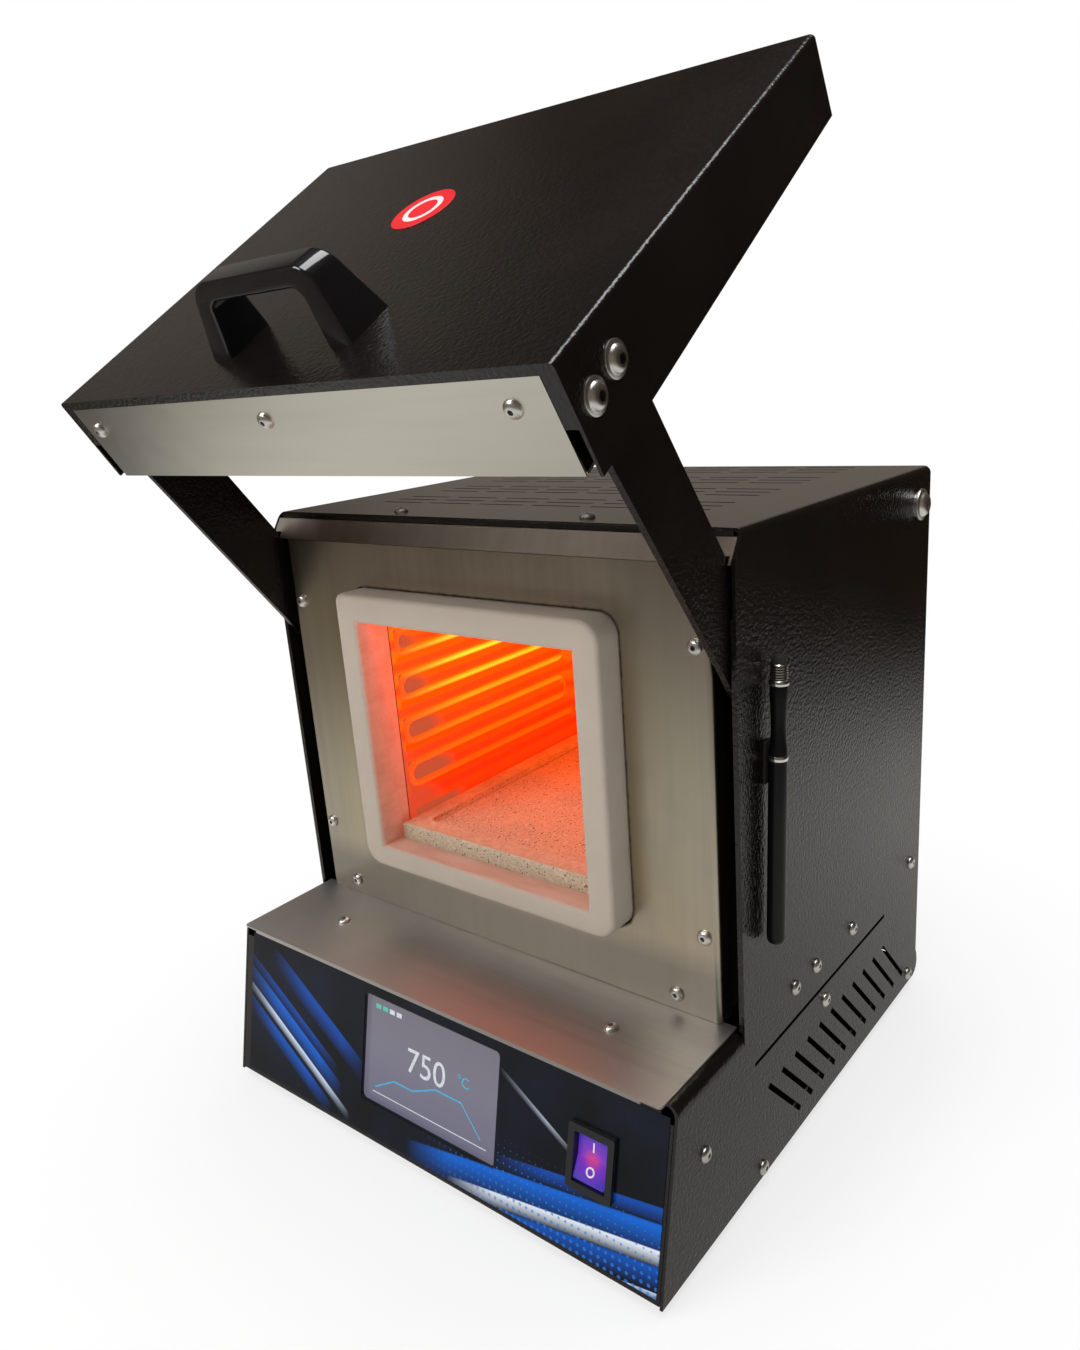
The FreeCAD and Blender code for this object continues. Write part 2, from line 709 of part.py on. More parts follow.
def door_shell():
    half = case_w / 2
    outer = prism_x(tapered(0, 0, door_len, 0), -half, half)
    edges = [e for e in outer.Edges if abs(e.tangentAt(e.FirstParameter).z) > 0.9 and e.CenterOfMass.y < 1]
    outer = outer.makeFillet(2.2, edges)
    inner = box(-half + door_sheet, half - door_sheet, door_sheet, 80, door_sheet, door_len - door_sheet)
    below_lip = box(-half + door_sheet, half - door_sheet, lip_deep, 80, -5, 20)
    shell = outer.cut(inner).cut(below_lip)
    right_tab = box(half - 7.0, half - door_sheet, lip_deep - 0.5, 25.0, 0.1, door_sheet)
    left_tab = box(-half + door_sheet, strip_x0 - gap, lip_deep - 0.5, 25.0, 0.1, door_sheet)
    pieces = [shell, right_tab, left_tab]
    for x, y in strip_screws_at:
        pieces.append(box(x - 9, x + 9, 0.8, 24, 1.5, 2.7))
    tools = [screw_hole((x, y, -5), (0, 0, 1), 15) for x, y in strip_screws_at]
    for z, y in arm_screw_at:
        tools.append(rod(V(-half - 5, y, z), V(1, 0, 0), arm_screw_r + 0.2, case_w + 10))
    for x, z in handle_screw_places():
        tools.append(screw_hole((x, -1, z), (0, 1, 0), 4, 2.6))
    return open_door(cut(fuse(pieces), tools))


def door_pan():
    strip = box(strip_x0, strip_x1, lip_deep + 0.2, door_deep + 0.2, 0.2, 0.2 + strip_t)
    z1 = door_len - 3.0
    face = prism_x([(door_deep - 1.0, 1.2), (door_deep + 0.14, 1.2), (door_deep - door_taper * z1, z1),
                    (door_deep - door_taper * z1 - 1.0, z1)], -pan_half, pan_half)
    y_floor = 5.2
    side = prism_x([(y_floor, 3.2), (door_deep - 0.9, 3.2), (door_deep - door_taper * z1 - 0.8, z1),
                    (y_floor, z1)], pan_side - 1.0, pan_side)
    end = box(-pan_side, pan_side, y_floor, door_deep - door_taper * z1 - 0.5, z1 - 1.0, z1)
    body = fuse([strip, face, side, mirrored(side), end])
    window = box(pan_x0, pan_x1, 20, 60, pan_z0, pan_z1)
    edges = [e for e in window.Edges if abs(e.tangentAt(e.FirstParameter).y) > 0.99]
    tools = [window.makeFillet(6.0, edges)]
    tools += [screw_hole((x, y, -5), (0, 0, 1), 10) for x, y in strip_screws_at]
    return open_door(cut(body, tools))


def door_insulation():
    z0 = 4.0
    z1 = door_len - 4.4
    body = prism_x(tapered(5.2, z0, z1, seat_back), -pan_side + 1.3, pan_side - 1.3)
    return open_door(body)


def handle_outline(foot_half, top_half, rise, corner):
    # A trapezoid on the door's face with its two far corners rounded, as deep as the door is long.
    points = [(-foot_half, 1.0), (foot_half, 1.0), (foot_half, 0.0), (top_half, -rise), (-top_half, -rise),
              (-foot_half, 0.0)]
    wire = Part.makePolygon([V(handle_x + x, y, 0) for x, y in points + points[:1]])
    block = Part.Face(wire).extrude(V(0, 0, 80))
    far = [e for e in block.Edges if abs(e.CenterOfMass.y + rise) < 0.1 and abs(e.CenterOfMass.z - 40) < 1]
    return block.makeFillet(corner, far)


def handle_screw_places():
    reach = (handle_half + grip_half) / 2
    middle = (handle_foot0 + handle_foot1) / 2
    return [(handle_x + s * reach, middle) for s in (-1, 1)]


def door_handle():
    body = handle_outline(handle_half, handle_top_half, handle_h, 8.5)
    body = body.cut(handle_outline(grip_half, grip_top_half, handle_h - handle_bar, 4.5))
    points = [(0, handle_foot0), (-handle_h, handle_top0), (-handle_h, handle_top1), (0, handle_foot1)]
    body = body.common(prism_x(points, handle_x - handle_half - 1, handle_x + handle_half + 1))
    holes = [screw_hole((x, -14, z), (0, 1, 0), 15, 2.3) for x, z in handle_screw_places()]
    return open_door(cut(body, holes))


def handle_screws():
    screws = [button_screw((x, door_sheet, z), (0, 1, 0), 4.4, 2.6, 2.1, 12) for x, z in handle_screw_places()]
    return open_door(Part.makeCompound(screws))


def door_label():
    return open_door(rod(V(label_x, -0.35, label_z), V(0, 1, 0), label_r, 0.35))


def arm_plate():
    # One flat arm: a leg straight in from the door, an elbow, and a leg up to the pivot.
    py, pz = pivot_in_door()
    leg = 32.5
    centre_y = 168.0
    centre_z = 115.0
    r_out = 95.0
    r_in = r_out - leg
    x = arm_x0
    s45 = math.sin(math.radians(45))
    tail = arm_end_r + 1.0

    def p(y, z):
        return V(x, y, z)

    low0 = p(5.0, 6.0)
    low1 = p(centre_y, centre_z - r_out)
    mid_out = p(centre_y + r_out * s45, centre_z - r_out * s45)
    out1 = p(centre_y + r_out, centre_z)
    out2 = p(py + tail, pz - 6)
    cap = p(py, pz + tail - 1)
    in2 = p(py - tail, pz - 6)
    in1 = p(centre_y + r_in, centre_z)
    mid_in = p(centre_y + r_in * s45, centre_z - r_in * s45)
    up1 = p(centre_y, centre_z - r_in)
    up0 = p(5.0, 39.5)
    edges = [Part.makeLine(low0, low1), Part.Arc(low1, mid_out, out1).toShape(), Part.makeLine(out1, out2),
             Part.Arc(out2, cap, in2).toShape(), Part.makeLine(in2, in1),
             Part.Arc(in1, mid_in, up1).toShape(), Part.makeLine(up1, up0), Part.makeLine(up0, low0)]
    body = Part.Face(Part.Wire(edges)).extrude(V(arm_t, 0, 0))
    tools = [rod(V(x - 5, py, pz), V(1, 0, 0), pivot_r + pivot_fit, 20)]
    for z, y in arm_screw_at:
        tools.append(rod(V(x - 5, y, z), V(1, 0, 0), arm_screw_r + 0.2, 20))
    return cut(body, tools)


def arm_screws():
    half = case_w / 2
    length = half - arm_x0 + arm_nut_h + 0.4
    screws = []
    for z, y in arm_screw_at:
        screws.append(flange_screw((half, y, z), (1, 0, 0), length, arm_screw_r))
        screws.append(flange_screw((-half, y, z), (-1, 0, 0), length, arm_screw_r))
    return open_door(Part.makeCompound(screws))


def arm_nuts():
    # A spacer between flange and arm and a nut inside the arm, for each screw.
    pieces = []
    inner = case_w / 2 - door_sheet
    for z, y in arm_screw_at:
        spacer = washer((arm_x0 + arm_t, y, z), (1, 0, 0), 6.0, inner - arm_x0 - arm_t, arm_screw_r)
        inside = nut((arm_x0 - arm_nut_h, y, z), (1, 0, 0), arm_screw_r, arm_nut_h)
        for piece in (spacer, inside):
            pieces += [piece, mirrored(piece)]
    return open_door(Part.makeCompound(pieces))


def strip_screws():
    screws = [button_screw((x, y, 0.2), (0, 0, -1), length=3.6) for x, y in strip_screws_at]
    return open_door(Part.makeCompound(screws))


def magnet_place():
    return 36.0, 176.0


def door_magnet():
    z, y = magnet_place()
    return open_door(rod(V(arm_x0 - 1.2, y, z), V(1, 0, 0), 4.0, 1.2))


def door_sensor():
    # A small sealed switch on the housing, beside the magnet when the door is shut.
    turn = 90.0 - door_tilt - math.degrees(math.atan(door_taper))
    z, y = magnet_place()
    place = door_point(0, y, z) - V(0, pivot_y, pivot_z)
    a = math.radians(turn)
    cy = pivot_y + place.y * math.cos(a) - place.z * math.sin(a)
    cz = pivot_z + place.y * math.sin(a) + place.z * math.cos(a)
    body = box(housing_half + 0.1, housing_half + 5.0, cy - 11, cy + 11, cz - 5, cz + 5)
    edges = [e for e in body.Edges if abs(e.tangentAt(e.FirstParameter).x) > 0.99]
    return body.makeFillet(1.5, edges)


def pivot_bolts():
    half = case_w / 2
    head_x = half + 1.8
    length = head_x - (arm_x0 - 1.4 - 4.4)
    right = flange_screw((head_x, pivot_y, pivot_z), (1, 0, 0), length, pivot_r)
    return both_sides(right)


def pivot_nuts():
    right = nut((arm_x0 - 1.4 - 4.4, pivot_y, pivot_z), (1, 0, 0), pivot_r, 4.4)
    return both_sides(right)


def pivot_spacers():
    # A washer outside the side sheet, one between sheet and arm, and one inside the arm.
    half = case_w / 2
    room = half - sheet - arm_x0 - arm_t - 0.1
    outside = washer((half, pivot_y, pivot_z), (1, 0, 0), 7.0, 1.8, pivot_r)
    between = washer((arm_x0 + arm_t + 0.1, pivot_y, pivot_z), (1, 0, 0), 8.0, room, pivot_r)
    inside = washer((arm_x0 - 1.4, pivot_y, pivot_z), (1, 0, 0), 8.0, 1.3, pivot_r)
    pieces = []
    for ring in (outside, between, inside):
        pieces += [ring, mirrored(ring)]
    return Part.makeCompound(pieces)


def stop_pins():
    # Pins on the side sheets that the upper edge of each arm meets when the door is fully open.
    py, pz = pivot_in_door()
    edge_y = py - arm_end_r - 1.0
    far_y = 168.0 + 95.0 - 32.5
    along = 40.0
    z = pz - 6 - along
    share = along / (pz - 6 - 115.0)
    y = edge_y + (far_y - edge_y) * share
    centre = door_point(0, y - 4.0 - 0.15, z)
    x1 = case_w / 2 - sheet
    pin = rod(V(arm_x0 - 0.5, centre.y, centre.z), V(1, 0, 0), 4.0, x1 - arm_x0 + 0.5)
    return both_sides(pin)


def top_screws():
    screws = [button_screw((s * x, y, case_h), (0, 0, 1)) for x, y in top_screws_at for s in (-1, 1)]
    return Part.makeCompound(screws)


def front_screws():
    screws = []
    for x, z in front_screws_at:
        for s in (-1, 1):
            screws.append(button_screw((s * x, front_y, z), (0, -1, 0), length=5.0))
    return Part.makeCompound(screws)


def shelf_screws():
    screws = [button_screw((s * x, y, shelf_z), (0, 0, 1), length=5.0) for x, y in shelf_screws_at
              for s in (-1, 1)]
    return Part.makeCompound(screws)


def side_screws():
    half = case_w / 2
    screws = [button_screw((half, y, z), (1, 0, 0), length=5.0) for y, z in side_screws_at]
    return Part.makeCompound(screws + [mirrored(s) for s in screws])


def feet():
    pads = []
    inset = 25.0
    for x in (inset - case_w / 2, case_w / 2 - inset):
        for y in (32.0, case_d - 32.0):
            pads.append(Part.makeCone(foot_r - 1.5, foot_r, foot_h, V(x, y, -foot_h), V(0, 0, 1)))
    return Part.makeCompound(pads)


def mains_inlet():
    y0 = case_d - 4.2
    flange = box(-109, -71, y0 + 1.2, y0 + 3.4, 29, 56)
    body = box(-103.6, -76.4, y0 - 16, y0 + 1.2, 32.4, 52.6)
    well = box(-101.5, -78.5, y0 - 12, y0 + 4, 34.8, 50.2)
    pins = [box(x - 1, x + 1, y0 - 13, y0 - 2.6, z - 2, z + 2) for x, z in ((-97, 41), (-90, 44.5), (-83, 41))]
    return fuse([fuse([flange, body]).cut(well)] + pins)


def fuse_holder():
    y0 = case_d - 4.2
    body = rod(V(-45, y0 - 24, 42.5), V(0, 1, 0), 6.0, 25.2)
    cap = rod(V(-45, y0 + 1.2, 42.5), V(0, 1, 0), 8.0, 3.0)
    return fuse([body, cap])


def control_board():
    # The controller's circuit board on four posts, with its larger parts.
    plate = box(-60, 60, 120, 210, 11.0, 12.6)
    posts = [aim(facets(8, 3.0, 0, 11.0 - pan_t), (x, y, pan_t), (0, 0, 1)) for x in (-55, 55) for y in (125, 205)]
    parts = [box(-48, -18, 135, 165, 12.6, 32), box(-8, 22, 135, 150, 12.6, 27), box(30, 52, 130, 150, 12.6, 30),
             box(-20, 10, 170, 195, 12.6, 16), aim(facets(12, 6.0, 0, 20.0), (38, 180, 12.6), (0, 0, 1))]
    return fuse([plate] + posts + parts)


def power_relay():
    # A solid-state relay on a finned heat sink.
    x0 = case_w / 2 - 70.0
    base = box(x0, x0 + 45, 200, 260, pan_t, 8)
    fins = [box(x0 + 6.2 * k, x0 + 2 + 6.2 * k, 200, 260, 8, 20) for k in range(7)]
    cap = box(x0, x0 + 39.2, 200, 260, 20, 24)
    relay = box(x0 + 2, x0 + 38, 205, 255, 24, 46)
    return fuse([base] + fins + [cap, relay])


def terminal_block():
    x0 = 30.0 - case_w / 2
    block = box(x0, x0 + 44, 216, 236, pan_t, 24)
    cuts = [box(x0 + 2 + 8.6 * k, x0 + 8 + 8.6 * k, 222, 230, 12, 30) for k in range(5)]
    return cut(block, cuts)


def pen_place(shape):
    # The stylus is drawn hanging down from its tip at the origin.
    shape.rotate(V(0, 0, 0), V(1, 0, 0), -pen_lean)
    shape.translate(V(pen_x, pen_y, pen_top))
    return shape


def stylus_barrel():
    grip = [(0, -14.0), (3.9, -14.0), (4.0, -18), (3.4, -33.0), (4.3, -43.5), (4.3, -45.9), (4.0, -45.9),
            (4.0, -48.3), (4.3, -48.3), (pen_r, -pen_len + 2.6), (2.6, -pen_len), (0, -pen_len)]
    return pen_place(turned(grip))


def stylus_trim():
    ferrule = turned([(0, -4.3), (3.9, -4.3), (3.9, -11.5), (4.5, -11.5), (4.5, -14.0), (0, -14.0)])
    ring = turned([(4.0, -45.9), (4.45, -45.9), (4.45, -48.3), (4.0, -48.3)])
    return pen_place(Part.makeCompound([ferrule, ring]))


def stylus_tip():
    dome = turned([(0, 0), (2.2, -0.7), (3.4, -2.4), (3.5, -4.3), (0, -4.3)])
    return pen_place(dome)


def stylus_magnet():
    # A flat magnet stuck to the side sheet that holds the stylus by its rings.
    pad = box(case_w / 2, case_w / 2 + 1.0, -3.0, 3.0, -60, -40)
    pad.rotate(V(0, 0, 0), V(1, 0, 0), -pen_lean)
    pad.translate(V(0, pen_y, pen_top))
    return pad


def all_pieces():
    right_arm = arm_plate()
    left_arm = mirrored(right_arm)
    return {
        "outer_casing": outer_casing(), "base_pan": base_pan(), "rear_panel": rear_panel(),
        "shelf_plate": shelf_plate(), "control_panel": control_panel(), "panel_film": panel_film(),
        "front_plate": front_plate(), "front_brow": front_brow(), "muffle_housing": muffle_housing(),
        "mouth_frame": mouth_frame(), "chamber_left": wall_board(-1), "chamber_right": wall_board(1),
        "chamber_roof": chamber_roof(), "chamber_floor": chamber_floor(), "chamber_back": chamber_back(),
        "element_left": element(-1), "element_right": element(1), "element_terminals": element_terminals(),
        "thermocouple": thermocouple(), "insulation_top": insulation_top(),
        "insulation_bottom": insulation_bottom(), "insulation_sides": insulation_sides(),
        "insulation_rear": insulation_rear(), "muffle_rails": muffle_rails(),
        "display_screen": display_screen(), "display_board": display_board(),
        "rocker_housing": rocker_housing(), "rocker_paddle": rocker_paddle(),
        "control_board": control_board(), "power_relay": power_relay(), "terminal_block": terminal_block(),
        "mains_inlet": mains_inlet(), "fuse_holder": fuse_holder(), "feet": feet(),
        "pivot_bolts": pivot_bolts(), "pivot_nuts": pivot_nuts(), "pivot_spacers": pivot_spacers(),
        "stop_pins": stop_pins(), "door_sensor": door_sensor(), "top_screws": top_screws(),
        "front_screws": front_screws(), "shelf_screws": shelf_screws(), "side_screws": side_screws(),
        "stylus_magnet": stylus_magnet(), "stylus_barrel": stylus_barrel(), "stylus_trim": stylus_trim(),
        "stylus_tip": stylus_tip(), "chamber_tray": chamber_tray(), "door_shell": door_shell(),
        "door_pan": door_pan(), "door_insulation": door_insulation(), "door_handle": door_handle(),
        "handle_screws": handle_screws(), "door_label": door_label(), "arm_right": open_door(right_arm),
        "arm_left": open_door(left_arm), "arm_screws": arm_screws(), "arm_nuts": arm_nuts(),
        "strip_screws": strip_screws(), "door_magnet": door_magnet(),
    }


def move_to_frame(pieces):
    # The origin goes to the middle of the whole object's underside.
    bounds = FreeCAD.BoundBox()
    for shape in pieces.values():
        bounds.add(shape.optimalBoundingBox(False))
    shift = V(-(bounds.XMin + bounds.XMax) / 2, -(bounds.YMin + bounds.YMax) / 2, -bounds.ZMin)
    for shape in pieces.values():
        shape.translate(shift)
    return shift


def main():
    pieces = all_pieces()
    shift = move_to_frame(pieces)
    for name, shape in pieces.items():
        shape.exportStep("parts/" + name + ".step")
    centre = rocker_centre() + shift
    print("pieces", len(pieces))
    print("shift", round(shift.x, 4), round(shift.y, 4), round(shift.z, 4))
    print("pivot", round(pivot_y + shift.y, 4), round(pivot_z + shift.z, 4))
    print("rocker", round(centre.x, 4), round(centre.y, 4), round(centre.z, 4))


main()
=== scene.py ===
import bpy
import bmesh
import math
from mathutils import Matrix, Vector


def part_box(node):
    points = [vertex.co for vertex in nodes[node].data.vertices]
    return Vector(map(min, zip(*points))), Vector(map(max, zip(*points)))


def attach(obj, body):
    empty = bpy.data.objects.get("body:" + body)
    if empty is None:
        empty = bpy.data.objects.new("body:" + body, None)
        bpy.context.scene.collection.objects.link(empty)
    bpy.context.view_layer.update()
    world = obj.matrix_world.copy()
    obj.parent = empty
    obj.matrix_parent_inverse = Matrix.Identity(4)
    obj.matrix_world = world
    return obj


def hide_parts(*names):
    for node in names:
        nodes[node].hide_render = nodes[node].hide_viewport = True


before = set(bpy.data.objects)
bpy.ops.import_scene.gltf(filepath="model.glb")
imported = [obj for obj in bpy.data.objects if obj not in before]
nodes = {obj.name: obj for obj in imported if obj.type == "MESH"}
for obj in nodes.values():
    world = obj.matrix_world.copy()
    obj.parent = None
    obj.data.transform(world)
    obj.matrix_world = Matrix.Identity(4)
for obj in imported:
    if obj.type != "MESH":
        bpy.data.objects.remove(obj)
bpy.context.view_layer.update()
print("frame loaded:", len(nodes), "CAD pieces")

# The new pieces are drawn in millimetres from the front lower edge of the casing
casingLow, casingHigh = (Vector(corner) * 1000.0 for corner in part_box("outer_casing"))
shift = Vector(((casingLow.x + casingHigh.x) / 2, casingLow.y, casingLow.z))
halfWidth = (casingHigh.x - casingLow.x) / 2
doorTilt = 32.82
doorFoot = (0.0, -32.2, 394.5)
panelLean = 12.5
millimetre = 0.001


def turned(degrees, axis):
    return Matrix.Rotation(math.radians(degrees), 4, axis)


def toMetres(matrix):
    return Matrix.Scale(millimetre, 4) @ Matrix.Translation(shift) @ matrix


def atX(x):
    return (x + shift.x) * millimetre


def atY(y):
    return (y + shift.y) * millimetre


def atZ(z):
    return (z + shift.z) * millimetre


bodyPlace = toMetres(Matrix.Identity(4))
doorPlace = toMetres(Matrix.Translation(doorFoot) @ turned(doorTilt - 90.0, "X"))
panelPlace = toMetres(turned(-panelLean, "X"))

mouth = {"x": 4.0, "half": 86.5, "low": 128.6, "high": 286.7, "front": 62.1, "back": 84.3, "openHalf": 71.5,
         "openLow": 141.5, "openHigh": 271.5, "corner": 11.0, "tight": 5.0, "soft": 2.6}
coil = {"first": 166.6, "pitch": 13.25, "runs": 8, "front": 92.0, "rear": 240.0, "end": 296.0, "radius": 1.8,
        "wallHalf": 71.5, "sunk": 3.25, "middle": 4.0, "steps": 8}
mouthMiddle = (mouth["low"] + mouth["high"]) / 2
mouthRise = (mouth["high"] - mouth["low"]) / 2
openMiddle = (mouth["openLow"] + mouth["openHigh"]) / 2
openRise = (mouth["openHigh"] - mouth["openLow"]) / 2


class Value:
    # What comes out of a node. Numbers of this kind add, multiply and compare as plain ones do.
    def __init__(self, socket):
        self.socket = socket
        self.tree = socket.id_data

    def math(self, operation, *others):
        node = addNode(self.tree, "ShaderNodeMath", operation=operation)
        for source, target in zip((self, *others), node.inputs):
            put(source, target)
        return Value(node.outputs[0])

    def __add__(self, other):
        return self.math("ADD", other)

    def __sub__(self, other):
        return self.math("SUBTRACT", other)

    def __rsub__(self, other):
        return self.math("MULTIPLY_ADD", -1.0, other)

    def __mul__(self, other):
        return self.math("MULTIPLY", other)

    def __truediv__(self, other):
        return self.math("DIVIDE", other)

    def __lt__(self, other):
        return self.math("LESS_THAN", other)

    def __gt__(self, other):
        return self.math("GREATER_THAN", other)

    def __abs__(self):
        return self.math("ABSOLUTE")

    def least(self, other):
        return self.math("MINIMUM", other)

    def most(self, other):
        return self.math("MAXIMUM", other)

    def fraction(self):
        return self.math("FRACT")

    def onto(self, low, high, first=0.0, last=1.0):
        # Runs from first to last while the value goes from low to high, and stays there.
        node = addNode(self.tree, "ShaderNodeMapRange", {
            "Value": self, "From Min": low, "From Max": high, "To Min": first, "To Max": last})
        return Value(node.outputs["Result"])


def put(value, socket):
    # Links a value to a socket, or sets a plain number, colour or vector on it.
    if isinstance(value, Value):
        socket.id_data.links.new(value.socket, socket)
    elif socket.type == "RGBA":
        socket.default_value = (*value, 1.0)
    else:
        socket.default_value = value


def addNode(tree, kind, values=None, **settings):
    node = tree.nodes.new(kind)
    for key, value in settings.items():
        setattr(node, key, value)
    for key, value in (values or {}).items():
        put(value, node.inputs[key])
    return node


def coords(tree, output="Object"):
    return Value(addNode(tree, "ShaderNodeTexCoord").outputs[output])


def splitUp(vector):
    return [Value(out) for out in addNode(vector.tree, "ShaderNodeSeparateXYZ", {"Vector": vector}).outputs]


def vectorMath(operation, vector, other=None):
    node = addNode(vector.tree, "ShaderNodeVectorMath", operation=operation)
    put(vector, node.inputs[0])
    if other is not None:
        put(other, node.inputs[1])
    return Value(node.outputs["Value" if operation in ("LENGTH", "DOT_PRODUCT") else "Vector"])


def noise(vector, scale, detail=2.0, roughness=0.5):
    node = addNode(vector.tree, "ShaderNodeTexNoise", {
        "Vector": vector, "Scale": scale, "Detail": detail, "Roughness": roughness})
    return Value(node.outputs["Fac"])


def cells(vector, scale):
    node = addNode(vector.tree, "ShaderNodeTexVoronoi", {"Vector": vector, "Scale": scale})
    return Value(node.outputs["Distance"])


def ramp(value, stops):
    node = addNode(value.tree, "ShaderNodeValToRGB", {"Fac": value})
    elements = node.color_ramp.elements
    elements.remove(elements[-1])
    elements[0].position = stops[0][0]
    elements[0].color = (*stops[0][1], 1.0)
    for position, color in stops[1:]:
        elements.new(position).color = (*color, 1.0)
    return Value(node.outputs["Color"])


def blend(factor, first, last):
    node = addNode(factor.tree, "ShaderNodeMix", data_type="RGBA")
    for value, index in ((factor, 0), (first, 6), (last, 7)):
        put(value, node.inputs[index])
    return Value(node.outputs[2])


def times(color, factor):
    return tuple(min(c * factor, 1.0) for c in color)


def newLook(name, color, roughness, metallic=0.0, specular=0.5):
    material = bpy.data.materials.new(name)
    material.use_nodes = True
    shader = material.node_tree.nodes["Principled BSDF"]
    for key, value in (("Base Color", color), ("Roughness", roughness), ("Metallic", metallic),
                       ("Specular IOR Level", specular)):
        put(value, shader.inputs[key])
    return material, shader.inputs, coords(material.node_tree)


def bump(inputs, height, distance, strength=1.0):
    node = addNode(height.tree, "ShaderNodeBump", {"Height": height, "Strength": strength, "Distance": distance})
    put(Value(node.outputs["Normal"]), inputs["Normal"])


def emit(inputs, glow, strength=1.0):
    put(glow, inputs["Emission Color"])
    put(strength, inputs["Emission Strength"])


def currentTone(inputs):
    return Value(inputs["Base Color"].links[0].from_socket)


def newGroup(name, numbers, outputs):
    # A node group that reads a vector and a few numbers.
    group = bpy.data.node_groups.new(name, "ShaderNodeTree")
    group.interface.new_socket(name="Vector", in_out="INPUT", socket_type="NodeSocketVector")
    for key, value in numbers.items():
        group.interface.new_socket(name=key, in_out="INPUT", socket_type="NodeSocketFloat").default_value = value
    for key in outputs:
        group.interface.new_socket(name=key, in_out="OUTPUT", socket_type="NodeSocketFloat")
    start = addNode(group, "NodeGroupInput")
    end = addNode(group, "NodeGroupOutput")
    return group, {out.name: Value(out) for out in start.outputs if out.name}, end.inputs


def useGroup(group, vector, numbers=None):
    node = addNode(vector.tree, "ShaderNodeGroup", {"Vector": vector, **(numbers or {})}, node_tree=group)
    return {out.name: Value(out) for out in node.outputs}


def makePeelGroup():
    # Orange peel of a powder coat: fine bumps and large patches.
    group, start, end = newGroup("orangePeel", {"Scale": 700.0}, ("Height", "Patch"))
    put(noise(start["Vector"], start["Scale"], 2.0, 0.55), end["Height"])
    put(noise(start["Vector"], 14.0, 3.0), end["Patch"])
    return group


def makeBrushGroup():
    # Fine parallel strokes. The vector comes in already stretched along the strokes.
    group, start, end = newGroup("brushedGrain", {}, ("Height", "Tone", "Cloud"))
    put(noise(start["Vector"], 900.0, 3.0, 0.7), end["Height"])
    put(noise(start["Vector"], 130.0, 4.0, 0.6), end["Tone"])
    put(noise(start["Vector"], 16.0, 3.0), end["Cloud"])
    return group


def makeDustGroup():
    # Sparse pale specks, as dust and fine scratches show on a dark coat.
    group, start, end = newGroup("dustSpecks", {"Amount": 0.06}, ("Mask",))
    near = cells(start["Vector"], 320.0) < start["Amount"]
    dense = noise(start["Vector"], 9.0, 3.0) > 0.56
    put(near * dense, end["Mask"])
    return group


peelGroup = makePeelGroup()
brushGroup = makeBrushGroup()
dustGroup = makeDustGroup()

coatLook = {"peelScale": 500.0, "peelDepth": 0.0004, "roughness": (0.16, 0.27), "dark": (0.005, 0.0038, 0.0032),
            "light": (0.009, 0.0068, 0.0056), "dust": 0.05, "dustTone": (0.12, 0.115, 0.11)}


def makeCoat(name, look):
    material, inputs, point = newLook(name, look["dark"], look["roughness"][0])
    peel = useGroup(peelGroup, point, {"Scale": look["peelScale"]})
    specks = useGroup(dustGroup, point, {"Amount": look["dust"]})
    tone = ramp(peel["Patch"], [(0.35, look["dark"]), (0.7, look["light"])])
    put(blend(specks["Mask"], tone, look["dustTone"]), inputs["Base Color"])
    # The coat flowed out smoother on what lay flat in the oven
    level = splitUp(coords(point.tree, "Normal"))[2]
    flow = level.onto(0.3, 0.8, 1.0, 0.55).least(level.onto(0.88, 0.97, 1.0, 0.1))
    grain = peel["Height"] * 0.75 + peel["Patch"] * 0.25
    put(((grain - 0.5) * flow).onto(-0.12, 0.12, *look["roughness"]), inputs["Roughness"])
    bump(inputs, peel["Height"] * flow, look["peelDepth"])
    return material


blackCoat = makeCoat("blackCoat", coatLook)
panelCoat = makeCoat("panelCoat", dict(coatLook, peelDepth=0.00006, roughness=(0.22, 0.3), dust=0.0))

steelLooks = {
    "plateSteel": {"color": (0.58, 0.52, 0.43), "roughness": 0.33, "stretch": (1.0, 1.0, 0.03), "depth": 0.000006},
    "browSteel": {"color": (0.57, 0.51, 0.45), "roughness": 0.42, "stretch": (1.0, 0.1, 0.1), "depth": 0.000008},
    "shelfSteel": {"color": (0.52, 0.5, 0.48), "roughness": 0.5, "stretch": (0.03, 1.0, 1.0), "depth": 0.000008},
    "panSteel": {"color": (0.74, 0.71, 0.64), "roughness": 0.32, "stretch": (0.06, 1.0, 1.0), "depth": 0.000004,
                 "dark": 0.94}}


def makeBrushed(name, color, roughness, stretch, depth, dark=0.84):
    inputs, point = newLook(name, color, roughness, 1.0)[1:]
    grain = useGroup(brushGroup, vectorMath("MULTIPLY", point, stretch))
    put(ramp(grain["Tone"], [(0.3, times(color, dark)), (0.7, color)]), inputs["Base Color"])
    put(grain["Cloud"].onto(0.3, 0.7, roughness * 0.85, roughness * 1.15), inputs["Roughness"])
    bump(inputs, grain["Height"], depth)
    return inputs, point


plateWearAndShade = {"tintMiddle": 195.0, "tintRise": 45.0, "tintReach": 55.0, "tint": (0.6, 0.52, 0.31), "corner": 10.0,
        "smearAndShade": (0.33, 0.3, 0.26), "seamShadowAndSoot": (0.05, 0.035, 0.025), "seamShadowAndSootWidth": 1.2, "seamShadowAndSootWander": 1.4}


